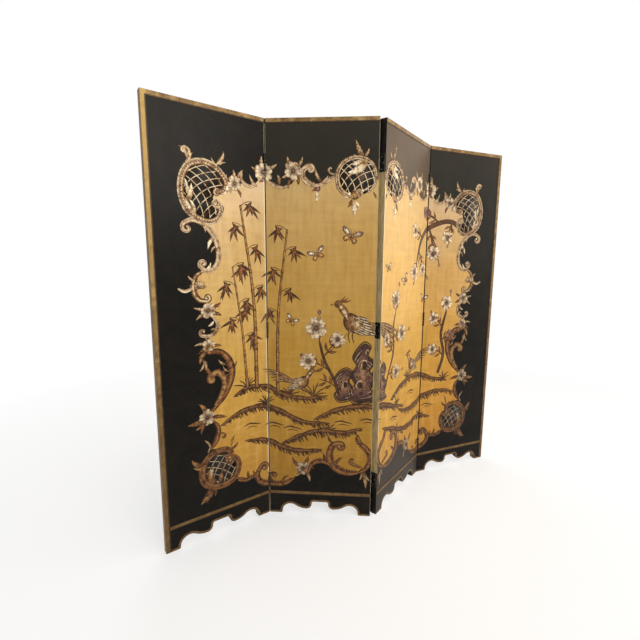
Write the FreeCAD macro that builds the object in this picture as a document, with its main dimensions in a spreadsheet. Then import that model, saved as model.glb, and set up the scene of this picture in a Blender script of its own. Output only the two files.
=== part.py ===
import FreeCAD, Part
import Sketcher
import math
import os

# Four-panel folding screen, in millimetres.
# Row frame: +Z up, the viewer stands on the -Y side, panel 1 is the leftmost as the viewer sees it.
# A panel's own frame: x across from its middle, y = 0 on its front face and growing to the back, z up.

doc = FreeCAD.newDocument("folding_screen")

# Driving sizes
SIZES = [
    ("panel_height", 2134, "panel, floor to top edge"),
    ("panel_width", 571.5, "panel, edge to edge"),
    ("board_thickness", 5, "front and back boards"),
    ("core_thickness", 25, "stiles and rails between the boards"),
    ("stile_width", 60, "left and right stiles"),
    ("top_rail_height", 60, "top rail"),
    ("cross_rail_height", 50, "each cross rail"),
    ("apron_height", 150, "top of the apron rail above the floor"),
    ("tenon_length", 20, "how far a rail's tenon enters the stile"),
    ("tenon_thickness", 8, "rail tenons"),
    ("tenon_shoulder", 6, "from a rail's top or bottom to its tenon"),
    ("mortise_end_gap", 0.5, "glue room past the end of a tenon"),
    ("foot_return", 10, "part of a foot that the apron rail adds to the stile"),
    ("foot_corner_radius", 8, "rounded inner corner of a foot"),
    ("foot_step", 2, "straight riser between the foot's corner and the arch"),
    ("arch_radius", 48, "small arch beside each foot"),
    ("lobe_share", 0.357, "lowest point of a lobe, as a share of the way from the middle to the foot"),
    ("lobe_height", 30, "lowest point of a lobe above the floor"),
    ("lobe_radius", 30, "inner side of a lobe"),
    ("plateau_height", 74, "flat middle of the apron above the floor"),
    ("plateau_corner_radius", 12, "corner between lobe and flat middle"),
    ("border_width", 24, "raised gilt border"),
    ("border_relief", 1.5, "how far border and band stand off the board"),
    ("border_rounding", 1, "rounded front edges of border and band"),
    ("border_foot_gap", 2, "from the floor to the border's lower end"),
    ("band_width", 21, "raised gilt band above the apron"),
    ("band_low", 116, "lower edge of that band above the floor"),
    ("hinge_length", 89, "butt hinge, top to bottom"),
    ("hinge_from_top", 211, "middle of the top hinge below the panel's top edge"),
    ("hinge_from_floor", 207, "middle of the low hinge above the floor"),
    ("leaf_width", 29.5, "leaf in the panel's edge, from the face at the barrel"),
    ("leaf_thickness", 2.5, "leaf plate"),
    ("leaf_play", 0.5, "room round a leaf in its recess"),
    ("leaf_gap", 1, "between two panels' edges, and their leaves, when the fold is flat"),
    ("barrel_radius", 4.5, "knuckles, outside"),
    ("barrel_offset", 5, "pin's axis in front of the panel's face"),
    ("knuckle_gap", 0.4, "between neighbouring knuckles"),
    ("knuckle_relief", 0.6, "between a leaf and the other leaf's knuckles"),
    ("pin_radius", 2.25, "hinge pin"),
    ("pin_clearance", 0.08, "between pin and knuckle bore"),
    ("row_angle", 8.7, "panel 1, in degrees from +X"),
    ("fold_angle_12", -39.3, "panel 2 against panel 1 at rest, in degrees"),
    ("fold_angle_23", 56.8, "panel 3 against panel 2 at rest, in degrees"),
    ("fold_angle_34", -31.5, "panel 4 against panel 3 at rest, in degrees"),
]
CROSS_RAILS = 3
PANELS = (1, 2, 3, 4)
KNUCKLES = 5

# Each fold's barrels stand on the front or on the back; a panel's hinged edges follow, left -1 and right 1
FOLDS = {"12": "front", "23": "back", "34": "front"}
HINGED_EDGES = {}
for fold, barrel in FOLDS.items():
    HINGED_EDGES[int(fold[0]), 1] = barrel
    HINGED_EDGES[int(fold[1]), -1] = barrel

sheet = doc.addObject("Spreadsheet::Sheet", "Sizes")
for row, (alias, value, note) in enumerate(SIZES, 1):
    sheet.set("A%d" % row, note)
    sheet.set("B%d" % row, str(value))
    sheet.setAlias("B%d" % row, alias)
doc.recompute()


def cell(alias):
    return "Sizes." + alias


def number(expression):
    """The value of an expression over the sheet's cells."""
    return float(sheet.evalExpression(expression))


# Sizes that follow from others
THICKNESS = "(2 * Sizes.board_thickness + Sizes.core_thickness)"
CORE_BACK = "(Sizes.board_thickness + Sizes.core_thickness)"
HALF_WIDTH = "(Sizes.panel_width / 2)"
INNER_EDGE = "(Sizes.panel_width / 2 - Sizes.stile_width)"
FOOT_EDGE = "(Sizes.panel_width / 2 - Sizes.stile_width - Sizes.foot_return)"
LOBE_SPREAD = "(Sizes.lobe_share * %s)" % FOOT_EDGE
PIN_TO_EDGE = "(Sizes.leaf_gap / 2)"
KNUCKLE_PITCH = "(Sizes.hinge_length / %d)" % KNUCKLES
CLEAR_HEIGHT = "(Sizes.panel_height - Sizes.top_rail_height - Sizes.apron_height)"
HINGE_MIDDLES = ("(Sizes.panel_height - Sizes.hinge_from_top)", "(Sizes.panel_height / 2)",
                 "Sizes.hinge_from_floor")


# Bodies, sketches and features
def new_body(label):
    body = doc.addObject("PartDesign::Body", label)
    body.Label = label
    return body


def new_sketch(body, plane, offset="0"):
    """A sketch on one of the body's own origin planes, moved along its normal by offset."""
    sketch = body.newObject("Sketcher::SketchObject", body.Name + "_sketch")
    plane_feature = [item for item in body.Origin.OriginFeatures if item.Role == plane][0]
    sketch.AttachmentSupport = [(plane_feature, "")]
    sketch.MapMode = "FlatFace"
    sketch.setExpression("AttachmentOffset.Base.z", offset)
    return sketch


def dimension(sketch, kind, geometry, point, expression):
    """Hold one coordinate of a sketch point by an expression over the sheet."""
    if expression == "0":
        axis = -2 if kind == "DistanceX" else -1
        sketch.addConstraint(Sketcher.Constraint("PointOnObject", geometry, point, axis))
        return
    value = number(expression)
    index = sketch.addConstraint(Sketcher.Constraint(kind, -1, 1, geometry, point, value))
    sketch.setExpression("Constraints[%d]" % index, expression)


def add_polygon(sketch, corners):
    """A closed outline of straight lines through corners given as pairs of expressions."""
    points = [FreeCAD.Vector(number(x), number(y), 0) for x, y in corners]
    first = sketch.GeometryCount
    count = len(points)
    for i in range(count):
        sketch.addGeometry(Part.LineSegment(points[i], points[(i + 1) % count]), False)
    for i in range(count):
        sketch.addConstraint(Sketcher.Constraint("Coincident", first + i, 2, first + (i + 1) % count, 1))
        dimension(sketch, "DistanceX", first + i, 1, corners[i][0])
        dimension(sketch, "DistanceY", first + i, 1, corners[i][1])


def add_rectangle(sketch, left, right, low, high):
    add_polygon(sketch, [(left, low), (right, low), (right, high), (left, high)])


def add_circle(sketch, x, y, radius):
    centre = FreeCAD.Vector(number(x), number(y), 0)
    circle = Part.Circle(centre, FreeCAD.Vector(0, 0, 1), number(radius))
    geometry = sketch.addGeometry(circle, False)
    dimension(sketch, "DistanceX", geometry, 3, x)
    dimension(sketch, "DistanceY", geometry, 3, y)
    index = sketch.addConstraint(Sketcher.Constraint("Radius", geometry, number(radius)))
    sketch.setExpression("Constraints[%d]" % index, radius)


def pad(body, sketch, length, reverse=False):
    feature = body.newObject("PartDesign::Pad", body.Name + "_pad")
    feature.Profile = sketch
    feature.setExpression("Length", length)
    feature.Reversed = reverse
    doc.recompute()
    return feature


def cut(body, sketch, length, reverse=False):
    """A pocket, refused if it takes nothing away."""
    before = body.Shape.Volume
    feature = body.newObject("PartDesign::Pocket", body.Name + "_pocket")
    feature.Profile = sketch
    feature.setExpression("Length", length)
    feature.Reversed = reverse
    doc.recompute()
    if body.Shape.Volume >= before:
        raise RuntimeError("a pocket in %s cuts nothing" % body.Label)
    return feature


def mirror_across_middle(body, features):
    """Mirror features across the panel's middle plane."""
    feature = body.newObject("PartDesign::Mirrored", body.Name + "_mirrored")
    feature.Originals = features
    plane = [item for item in body.Origin.OriginFeatures if item.Role == "YZ_Plane"][0]
    feature.MirrorPlane = (plane, [""])
    body.Tip = feature
    doc.recompute()
    return feature


# Scalloped lower edge: the right half, from the panel's middle to its outer edge.
# Flat middle, concave corner, lobe, ogee flank, arch, riser, rounded corner, foot.
def scallop_points():
    """Centres, radii and meeting points of the arcs, worked out from the sheet."""
    vector = FreeCAD.Vector
    corner = number(cell("plateau_corner_radius"))
    lobe = number(cell("lobe_radius"))
    arch = number(cell("arch_radius"))
    foot = number(cell("foot_corner_radius"))
    foot_x = number(FOOT_EDGE)
    lobe_x = number(LOBE_SPREAD)
    lobe_low = number(cell("lobe_height"))
    plateau = number(cell("plateau_height"))
    lobe_centre = vector(lobe_x, lobe_low + lobe, 0)
    drop = lobe_centre.y - (plateau - corner)
    corner_centre = vector(lobe_x - math.sqrt((lobe + corner) ** 2 - drop ** 2), plateau - corner, 0)
    arch_centre = vector(foot_x - arch, foot + number(cell("foot_step")), 0)
    run = arch_centre.x - lobe_x
    rise = lobe_low - arch_centre.y
    flank = (run ** 2 + rise ** 2 - arch ** 2) / (2 * (arch - rise))
    flank_centre = vector(lobe_x, lobe_low + flank, 0)
    corner_end = corner_centre + (lobe_centre - corner_centre) * (corner / (corner + lobe))
    flank_end = arch_centre + (flank_centre - arch_centre) * (arch / (arch + flank))
    return {
        "plateau_end": vector(corner_centre.x, plateau, 0),
        "corner": (corner_centre, corner), "corner_end": corner_end,
        "lobe": (lobe_centre, lobe), "lobe_bottom": vector(lobe_x, lobe_low, 0),
        "flank": (flank_centre, flank), "flank_end": flank_end,
        "arch": (arch_centre, arch), "arch_end": vector(foot_x, arch_centre.y, 0),
        "riser_end": vector(foot_x, foot, 0),
        "foot": (vector(foot_x + foot, foot, 0), foot), "foot_end": vector(foot_x + foot, 0, 0),
    }


def arc(centre_and_radius, start, end):
    """An arc running counterclockwise from start to end."""
    centre, radius = centre_and_radius
    circle = Part.Circle(centre, FreeCAD.Vector(0, 0, 1), radius)
    first = math.atan2(start.y - centre.y, start.x - centre.x)
    last = math.atan2(end.y - centre.y, end.x - centre.x)
    return Part.ArcOfCircle(circle, first, last)


def add_scalloped_half(sketch, outer, top):
    """The half outline: scallop, then out to the given edge, up to the given height and back."""
    spot = scallop_points()
    middle_low = FreeCAD.Vector(0, spot["plateau_end"].y, 0)
    outer_low = FreeCAD.Vector(number(outer), 0, 0)
    outer_top = FreeCAD.Vector(number(outer), number(top), 0)
    middle_top = FreeCAD.Vector(0, number(top), 0)
    line = Part.LineSegment
    pieces = [
        line(middle_low, spot["plateau_end"]),
        arc(spot["corner"], spot["corner_end"], spot["plateau_end"]),
        arc(spot["lobe"], spot["corner_end"], spot["lobe_bottom"]),
        arc(spot["flank"], spot["lobe_bottom"], spot["flank_end"]),
        arc(spot["arch"], spot["arch_end"], spot["flank_end"]),
        line(spot["arch_end"], spot["riser_end"]),
        arc(spot["foot"], spot["riser_end"], spot["foot_end"]),
        line(spot["foot_end"], outer_low),
        line(outer_low, outer_top),
        line(outer_top, middle_top),
        line(middle_top, middle_low),
    ]
    plateau, corner, lobe, flank, arch, riser, foot, ground, side, head, middle = range(len(pieces))
    for piece in pieces:
        sketch.addGeometry(piece, False)
    start, end, centre = 1, 2, 3
    tangent_joints = [
        (plateau, end, corner, end), (corner, start, lobe, start), (lobe, end, flank, start),
        (flank, end, arch, end), (arch, start, riser, start), (riser, end, foot, start),
        (foot, end, ground, start),
    ]
    for joint in tangent_joints:
        sketch.addConstraint(Sketcher.Constraint("Tangent", *joint))
    plain_joints = [(ground, end, side, start), (side, end, head, start), (head, end, middle, start),
                    (middle, end, plateau, start)]
    for joint in plain_joints:
        sketch.addConstraint(Sketcher.Constraint("Coincident", *joint))
    for geometry in (plateau, head, ground):
        sketch.addConstraint(Sketcher.Constraint("Horizontal", geometry))
    for geometry in (riser, side):
        sketch.addConstraint(Sketcher.Constraint("Vertical", geometry))
    for geometry, alias in ((corner, "plateau_corner_radius"), (lobe, "lobe_radius"), (arch, "arch_radius"),
                            (foot, "foot_corner_radius")):
        index = sketch.addConstraint(Sketcher.Constraint("Radius", geometry, number(cell(alias))))
        sketch.setExpression("Constraints[%d]" % index, cell(alias))
    dimension(sketch, "DistanceX", middle, start, "0")
    dimension(sketch, "DistanceX", plateau, start, "0")
    dimension(sketch, "DistanceY", plateau, start, cell("plateau_height"))
    dimension(sketch, "DistanceX", lobe, centre, LOBE_SPREAD)
    dimension(sketch, "DistanceY", lobe, centre, "Sizes.lobe_height + Sizes.lobe_radius")
    dimension(sketch, "DistanceX", flank, centre, LOBE_SPREAD)
    dimension(sketch, "DistanceX", riser, start, FOOT_EDGE)
    dimension(sketch, "DistanceY", arch, centre, "Sizes.foot_corner_radius + Sizes.foot_step")
    dimension(sketch, "DistanceY", ground, end, "0")
    dimension(sketch, "DistanceX", side, start, outer)
    dimension(sketch, "DistanceY", side, end, top)


# Boards and frame of one panel
def scalloped_piece(label, depth, thickness, outer, top):
    """A flat piece with the scalloped lower edge, its front at the given depth behind the front face."""
    body = new_body(label)
    sketch = new_sketch(body, "XZ_Plane", "-(%s)" % depth)
    add_scalloped_half(sketch, outer, top)
    half = pad(body, sketch, thickness, True)
    mirror_across_middle(body, [half])
    return body


def add_leaf_recesses(body, panel, side, near, far):
    """Recesses for the hinge leaves in a piece's edge; near and far are its depths behind the front face."""
    barrel = HINGED_EDGES.get((panel, side))
    if barrel is None:
        return
    reach = "(Sizes.leaf_width + Sizes.leaf_play)"
    if barrel == "front":
        starts, ends = near, far if number(far) <= number(reach) else reach
    else:
        limit = "(%s - %s)" % (THICKNESS, reach)
        starts, ends = near if number(near) >= number(limit) else limit, far
    if number(ends) <= number(starts):
        return
    sketch = new_sketch(body, "YZ_Plane", ("-" if side < 0 else "") + HALF_WIDTH)
    for middle in HINGE_MIDDLES:
        add_rectangle(sketch, starts, ends, middle + " - Sizes.hinge_length / 2 - Sizes.leaf_play",
                      middle + " + Sizes.hinge_length / 2 + Sizes.leaf_play")
    cut(body, sketch, cell("leaf_thickness"), side < 0)


def board(label, panel, near, far):
    """A board between two depths behind the front face, with recesses for the hinge leaves."""
    body = scalloped_piece(label, near, cell("board_thickness"), HALF_WIDTH, cell("panel_height"))
    for side in (-1, 1):
        add_leaf_recesses(body, panel, side, near, far)
    return body


def front_board(panel):
    return board("front_board_%d" % panel, panel, "0", cell("board_thickness"))


def back_board(panel):
    return board("back_board_%d" % panel, panel, CORE_BACK, THICKNESS)


def rail_spans():
    """Low and high edges of every rail, from the apron up, the cross rails evenly between."""
    spans = [("0", cell("apron_height"))]
    for i in range(CROSS_RAILS):
        middle = "Sizes.apron_height + %s * %d / %d" % (CLEAR_HEIGHT, i + 1, CROSS_RAILS + 1)
        spans.append((middle + " - Sizes.cross_rail_height / 2", middle + " + Sizes.cross_rail_height / 2"))
    spans.append(("Sizes.panel_height - Sizes.top_rail_height", cell("panel_height")))
    return spans


def tenon_span(span):
    """A tenon's low and high edges; the apron's starts above the scallop's highest point."""
    low = span[0] + " + Sizes.tenon_shoulder"
    if span[0] == "0":
        low = "Sizes.plateau_height + Sizes.tenon_shoulder"
    return low, span[1] + " - Sizes.tenon_shoulder"


TENON_FRONT = "(Sizes.board_thickness + (Sizes.core_thickness - Sizes.tenon_thickness) / 2)"
TENON_BACK = "(Sizes.board_thickness + (Sizes.core_thickness + Sizes.tenon_thickness) / 2)"


def add_tenons(body, spans):
    """Tenons on the right end of each rail, then the same on the left."""
    sketch = new_sketch(body, "YZ_Plane", INNER_EDGE)
    for span in spans:
        low, high = tenon_span(span)
        add_rectangle(sketch, TENON_FRONT, TENON_BACK, low, high)
    right = pad(body, sketch, cell("tenon_length"))
    mirror_across_middle(body, [right])


def straight_rails(label, spans):
    """Plain rails in one node, with tenons at both ends; several are laid up as one compound."""
    rails = []
    for i, span in enumerate(spans):
        name = label if len(spans) == 1 else "%s_rail_%d" % (label, i + 1)
        body = new_body(name)
        sketch = new_sketch(body, "XZ_Plane", "-Sizes.board_thickness")
        add_rectangle(sketch, "-" + INNER_EDGE, INNER_EDGE, span[0], span[1])
        pad(body, sketch, cell("core_thickness"), True)
        add_tenons(body, [span])
        rails.append(body)
    if len(rails) == 1:
        return rails[0]
    return compound(label, rails)


def compound(label, members):
    group = doc.addObject("Part::Compound", label)
    group.Label = label
    group.Links = members
    return group


def apron_rail(panel):
    body = scalloped_piece("apron_rail_%d" % panel, cell("board_thickness"), cell("core_thickness"),
                           INNER_EDGE, cell("apron_height"))
    add_tenons(body, [rail_spans()[0]])
    return body


def stile(panel, side):
    """A stile on side -1 (left) or 1 (right), with a mortise for every rail and recesses for the leaves."""
    body = new_body("%s_stile_%d" % ("left" if side < 0 else "right", panel))
    sign = "-" if side < 0 else ""
    sketch = new_sketch(body, "XZ_Plane", "-Sizes.board_thickness")
    add_rectangle(sketch, sign + INNER_EDGE, sign + HALF_WIDTH, "0", cell("panel_height"))
    pad(body, sketch, cell("core_thickness"), True)
    mortises = new_sketch(body, "YZ_Plane", sign + INNER_EDGE)
    for span in rail_spans():
        low, high = tenon_span(span)
        add_rectangle(mortises, TENON_FRONT, TENON_BACK, low, high)
    cut(body, mortises, "Sizes.tenon_length + Sizes.mortise_end_gap", side > 0)
    add_leaf_recesses(body, panel, side, cell("board_thickness"), CORE_BACK)
    return body


# Raised gilt border and band
def round_front_edges(body, feature, face_depth):
    """Round the edges of the face that lies at the given depth."""
    faces = feature.Shape.Faces
    front = [i for i, face in enumerate(faces, 1)
             if abs(face.BoundBox.YMin - face_depth) < 1e-6 and abs(face.BoundBox.YMax - face_depth) < 1e-6]
    rounding = body.newObject("PartDesign::Fillet", body.Name + "_rounding")
    rounding.Base = (feature, ["Face%d" % i for i in front])
    rounding.setExpression("Radius", cell("border_rounding"))
    doc.recompute()


def gilt_border(panel):
    """A strip along the top, turning down the outer side of the two end panels."""
    body = new_body("gilt_border_%d" % panel)
    sketch = new_sketch(body, "XZ_Plane", "0")
    top = cell("panel_height")
    under = "Sizes.panel_height - Sizes.border_width"
    inner = "(Sizes.panel_width / 2 - Sizes.border_width)"
    if panel in (PANELS[0], PANELS[-1]):
        sign, other = ("-", "") if panel == PANELS[0] else ("", "-")
        low = cell("border_foot_gap")
        corners = [(sign + HALF_WIDTH, low), (sign + HALF_WIDTH, top), (other + HALF_WIDTH, top),
                   (other + HALF_WIDTH, under), (sign + inner, under), (sign + inner, low)]
        add_polygon(sketch, corners)
    else:
        add_rectangle(sketch, "-" + HALF_WIDTH, HALF_WIDTH, under, top)
    strip = pad(body, sketch, cell("border_relief"))
    round_front_edges(body, strip, -number(cell("border_relief")))
    return body


def gilt_band(panel):
    """A strip across the panel just above the apron, ending at the border on the end panels."""
    body = new_body("gilt_band_%d" % panel)
    sketch = new_sketch(body, "XZ_Plane", "0")
    inner = "(Sizes.panel_width / 2 - Sizes.border_width)"
    left = inner if panel == PANELS[0] else HALF_WIDTH
    right = inner if panel == PANELS[-1] else HALF_WIDTH
    add_rectangle(sketch, "-" + left, right, cell("band_low"), "Sizes.band_low + Sizes.band_width")
    strip = pad(body, sketch, cell("border_relief"))
    round_front_edges(body, strip, -number(cell("border_relief")))
    return body


# Butt hinge, in its own frame: the pin is the z axis, z = 0 at the lower end, and the panel's face
# at the barrel lies at y = barrel_offset. The leaf of three knuckles is on the -x side.
def hinge_leaf(label, side, own_knuckles):
    """A leaf on side -1 or 1 with the given knuckles, counted from 0 at the lower end."""
    body = new_body(label)
    sign = "-" if side < 0 else ""
    plate = new_sketch(body, "XY_Plane")
    add_rectangle(plate, sign + PIN_TO_EDGE, "%s(%s + Sizes.leaf_thickness)" % (sign, PIN_TO_EDGE), "0",
                  "Sizes.barrel_offset + Sizes.leaf_width")
    pad(body, plate, cell("hinge_length"))
    barrel = new_sketch(body, "XY_Plane")
    add_circle(barrel, "0", "0", cell("barrel_radius"))
    pad(body, barrel, cell("hinge_length"))
    gaps = new_sketch(body, "YZ_Plane", "-Sizes.barrel_radius - Sizes.knuckle_relief")
    for k in range(KNUCKLES):
        if k in own_knuckles:
            continue
        low = "%d * %s - Sizes.knuckle_gap / 2" % (k, KNUCKLE_PITCH)
        high = "%d * %s + Sizes.knuckle_gap / 2" % (k + 1, KNUCKLE_PITCH)
        add_rectangle(gaps, "-Sizes.barrel_radius - Sizes.knuckle_relief",
                      "Sizes.barrel_radius + Sizes.knuckle_relief", low, high)
    cut(body, gaps, "2 * (Sizes.barrel_radius + Sizes.knuckle_relief)", True)
    bore = new_sketch(body, "XY_Plane", "-Sizes.knuckle_gap")
    add_circle(bore, "0", "0", "Sizes.pin_radius + Sizes.pin_clearance")
    cut(body, bore, "Sizes.hinge_length + 2 * Sizes.knuckle_gap", True)
    return body


def hinge_pin():
    """A plain pin, flush with the outer knuckles."""
    body = new_body("hinge_pin")
    sketch = new_sketch(body, "XY_Plane")
    add_circle(sketch, "0", "0", cell("pin_radius"))
    pad(body, sketch, cell("hinge_length"))
    return body


def three_on_edge(label, master):
    """A hinge piece at all three heights of one fold, in the frame of the fold's axis."""
    copies = []
    for middle in HINGE_MIDDLES:
        copy = doc.addObject("App::Link", master.Name + "_copy")
        copy.LinkedObject = master
        copy.setExpression("LinkPlacement.Base.z", middle + " - Sizes.hinge_length / 2")
        copies.append(copy)
    return compound(label, copies)


# Where the panels stand at rest

def axis_in_panel(side, barrel):
    """A fold's axis in a panel's own frame, at its left (-1) or right (1) edge."""
    x = side * number(HALF_WIDTH + " + " + PIN_TO_EDGE)
    offset = number(cell("barrel_offset"))
    y = -offset if barrel == "front" else number(THICKNESS) + offset
    return FreeCAD.Vector(x, y, 0)


def chain():
    """Placements of the panels and of the folds' axes, with panel 1 starting at the origin."""
    up = FreeCAD.Vector(0, 0, 1)
    direction = number(cell("row_angle"))
    panels = {1: FreeCAD.Placement(FreeCAD.Vector(0, 0, 0), FreeCAD.Rotation(up, direction))}
    axes = {}
    for fold, barrel in FOLDS.items():
        left, right = int(fold[0]), int(fold[1])
        axis = panels[left].multVec(axis_in_panel(1, barrel))
        half_turn = 0 if barrel == "front" else 180
        axes[fold, "left"] = FreeCAD.Placement(axis, FreeCAD.Rotation(up, direction + half_turn))
        direction += number(cell("fold_angle_" + fold))
        turned = FreeCAD.Rotation(up, direction)
        panels[right] = FreeCAD.Placement(axis - turned.multVec(axis_in_panel(-1, barrel)), turned)
        axes[fold, "right"] = FreeCAD.Placement(axis, FreeCAD.Rotation(up, direction + half_turn))
    return panels, axes


def footprint_middle(panels):
    """The middle of the box round all panels, borders included, as seen from above."""
    across = number(HALF_WIDTH)
    depths = (-number(cell("border_relief")), number(THICKNESS))
    corners = [place.multVec(FreeCAD.Vector(x, y, 0))
               for place in panels.values() for x in (-across, across) for y in depths]
    xs = [corner.x for corner in corners]
    ys = [corner.y for corner in corners]
    return FreeCAD.Vector((min(xs) + max(xs)) / 2, (min(ys) + max(ys)) / 2, 0)


def settle(item, placement):
    """Put an object in the row frame."""
    item.Placement = FreeCAD.Placement(placement.Base - MIDDLE, placement.Rotation)
    NODES.append(item)


NODES = []
PANEL_PLACES, AXIS_PLACES = chain()
MIDDLE = footprint_middle(PANEL_PLACES)


for panel in PANELS:
    pieces = [
        front_board(panel),
        back_board(panel),
        stile(panel, -1),
        stile(panel, 1),
        straight_rails("top_rail_%d" % panel, rail_spans()[-1:]),
        straight_rails("cross_rails_%d" % panel, rail_spans()[1:-1]),
        apron_rail(panel),
        gilt_border(panel),
        gilt_band(panel),
    ]
    for piece in pieces:
        settle(piece, PANEL_PLACES[panel])

three_knuckles = tuple(range(0, KNUCKLES, 2))
two_knuckles = tuple(range(1, KNUCKLES, 2))
LEAF_THREE = hinge_leaf("hinge_leaf_three_knuckles", -1, three_knuckles)
LEAF_TWO = hinge_leaf("hinge_leaf_two_knuckles", 1, two_knuckles)
PIN = hinge_pin()

for fold, barrel in FOLDS.items():
    # A barrel at the back is the same hinge turned half round, so the leaf with three knuckles,
    # which holds the pin, changes sides.
    three, two = ("left", "right") if barrel == "front" else ("right", "left")
    settle(three_on_edge("hinge_leaves_%s_three_knuckles" % fold, LEAF_THREE), AXIS_PLACES[fold, three])
    settle(three_on_edge("hinge_leaves_%s_two_knuckles" % fold, LEAF_TWO), AXIS_PLACES[fold, two])
    settle(three_on_edge("hinge_pins_%s" % fold, PIN), AXIS_PLACES[fold, three])

# Check every object before anything is written
doc.recompute()
for item in doc.Objects:
    if "Invalid" in item.State or "Error" in item.State:
        raise RuntimeError("%s did not compute: %s" % (item.Label, item.State))
for item in NODES:
    if item.Shape.isNull() or not item.Shape.isValid():
        raise RuntimeError("%s has no valid shape" % item.Label)

os.makedirs("parts", exist_ok=True)
for item in NODES:
    item.Shape.exportStep("parts/%s.step" % item.Label)
print("wrote %d nodes" % len(NODES))
for fold in FOLDS:
    axis = AXIS_PLACES[fold, "left"].Base - MIDDLE
    print("fold %s axis at x %.3f y %.3f" % (fold, axis.x, axis.y))
for panel in PANELS:
    place = PANEL_PLACES[panel]
    base = place.Base - MIDDLE
    print("panel %d at x %.3f y %.3f" % (panel, base.x, base.y))
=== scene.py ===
import bmesh
import bpy
import math
import numpy as np
from mathutils import Matrix, Vector
from mathutils.geometry import tessellate_polygon


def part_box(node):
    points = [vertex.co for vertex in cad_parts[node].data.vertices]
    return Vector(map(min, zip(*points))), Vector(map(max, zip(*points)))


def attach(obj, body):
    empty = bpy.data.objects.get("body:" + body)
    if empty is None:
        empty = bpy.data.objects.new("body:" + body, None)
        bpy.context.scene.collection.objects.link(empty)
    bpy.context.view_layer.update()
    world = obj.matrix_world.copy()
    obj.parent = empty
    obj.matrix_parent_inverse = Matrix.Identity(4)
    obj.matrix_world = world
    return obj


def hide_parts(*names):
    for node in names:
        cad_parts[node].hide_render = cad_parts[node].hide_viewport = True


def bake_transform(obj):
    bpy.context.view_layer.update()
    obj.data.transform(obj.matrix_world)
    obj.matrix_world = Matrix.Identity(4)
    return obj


# Four-panel folding screen: black lacquer front with a gold-leaf field, painted relief ornament and gilt borders.
# Sizes are millimetres unless a name says otherwise; meshes are made in metres, in the row frame.

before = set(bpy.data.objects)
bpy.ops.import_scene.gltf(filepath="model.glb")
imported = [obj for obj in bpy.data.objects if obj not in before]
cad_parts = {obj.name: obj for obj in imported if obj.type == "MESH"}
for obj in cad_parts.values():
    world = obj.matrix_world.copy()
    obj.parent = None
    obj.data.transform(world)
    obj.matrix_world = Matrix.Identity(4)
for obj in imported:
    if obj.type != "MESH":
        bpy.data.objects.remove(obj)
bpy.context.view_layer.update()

MM = 0.001
PANELS = (1, 2, 3, 4)
PANEL_WIDTH = 571.5
PANEL_HEIGHT = 2134.0
BOARD_THICKNESS = 5.0
PANEL_THICKNESS = 35.0
STRIP = 4 * PANEL_WIDTH
PANEL_ANGLES = {1: 8.7, 2: -30.6, 3: 26.2, 4: -5.3}

# Panels' sides, left -1 and right 1: the hinged ones, the olive ones of fold 23, those with barrels on the front,
# and along them the widths of what is rubbed, of painted fold shade, of worn gilt with painted highlight, and of
# the border
HINGED_EDGES = {1: (1,), 2: (-1, 1), 3: (-1, 1), 4: (-1,)}
OLIVE_EDGES = {2: 1, 3: -1}
FRONT_BARRELS = {1: 1, 2: -1, 3: 1, 4: -1}
RUBBED_EDGES = {1: {1: 2.0}, 2: {-1: 1.7, 1: 1.7}, 3: {-1: 2.6}, 4: {}}
FOLD_SHADE_WIDTH = 4.0
WORN_AND_LIT_EDGES = {1: 1, 3: -1}
WORN_AND_LIT_WIDTH = 5.5
FACE_BORDER = 24.0
ON_EDGE = 0.2
ARRIS_DEPTH = 3.0
FOOT_PAINT = 1.0

# Gilding: the heights between which fold 23's edges are gilt, and the middle and half width of each raised gilt
# strip, the border's from the top or the outer side and the band's from the floor
GILT_SPAN = (252.0, 1878.0)
GILT_STRIPS = {"border": (9.5, 8.5), "band": (128.0, 7.5)}
SCALLOP_TOP = 100.0
GOLD_SQUARE = 108.0
SEAM_SHIFTS = (31.0, 23.0)

# Relief: its sunk rim, the half width from which a band has its full height, the heights between which paint
# darkens towards the floor as painted shade, and the room left along a panel's sides
SUNK = -0.05
FULL_HALF = 6.0
SHADED = (300, 1500)
FIELD_ROOM = 1.7
PAINT_ROOM = 2.2
LINE_ROOM = 0.1

# Butt hinges: fold, panel, side of the panel, face the barrel lies on, and its leaf's knuckles from the lower end
HINGES = (("12", 1, 1, "front", (0, 2, 4)), ("12", 2, -1, "front", (1, 3)), ("23", 3, -1, "back", (0, 2, 4)),
          ("23", 2, 1, "back", (1, 3)), ("34", 3, 1, "front", (0, 2, 4)), ("34", 4, -1, "front", (1, 3)))
HINGE_LENGTH = 89.0
HINGE_MIDDLES = (1923.0, 1067.0, 207.0)
PIN_TO_EDGE = 0.5
LEAF_THICKNESS = 2.5
LEAF_END = 34.5
LEAF_CORNER = 2.0
LEAF_BEVEL = 0.35
BARREL_OFFSET = 5.0
BARREL_RADIUS = 4.5
BORE_RADIUS = 2.33
KNUCKLES = 5
KNUCKLE_PLAY = 0.2
KNUCKLE_ROOT = 2.6
SCREW_SPOTS = ((15.0, -30.5), (25.0, 0.0), (15.0, 30.5))
SCREW_RADIUS = 3.9
SCREW_SLOT = 0.55

# Thin strips between each pair of edges, just past the barrels, keeping light out of the folds: dark sheets for the
# shade there, olive in fold 23
SHADE_STRIP = 0.3
SHADE_STRIP_NEAR = 5.6
SHADE_STRIP_DEEP = 8.6
SHADE_STRIP_CLEARANCE = 0.02
SHADE_STRIP_LOW = 6.0
SHADE_STRIP_SHORT = 3.0
SHADE_STRIP_GAP = 0.2

# Scalloped lower edge, and the gilt line painted along it
FOOT_INNER = PANEL_WIDTH / 2 - 70.0
FOOT_CORNER = 8.0
ARCH_RADIUS = 48.0
ARCH_RISE = 10.0
LOBE_SHARE = 0.357
LOBE_LOW = 30.0
LOBE_RADIUS = 30.0
PLATEAU = 74.0
PLATEAU_CORNER = 12.0
GILT_LINE = 12.0

# Small irregularities of the hand, the same each time
random = np.random.default_rng(7)


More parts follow.
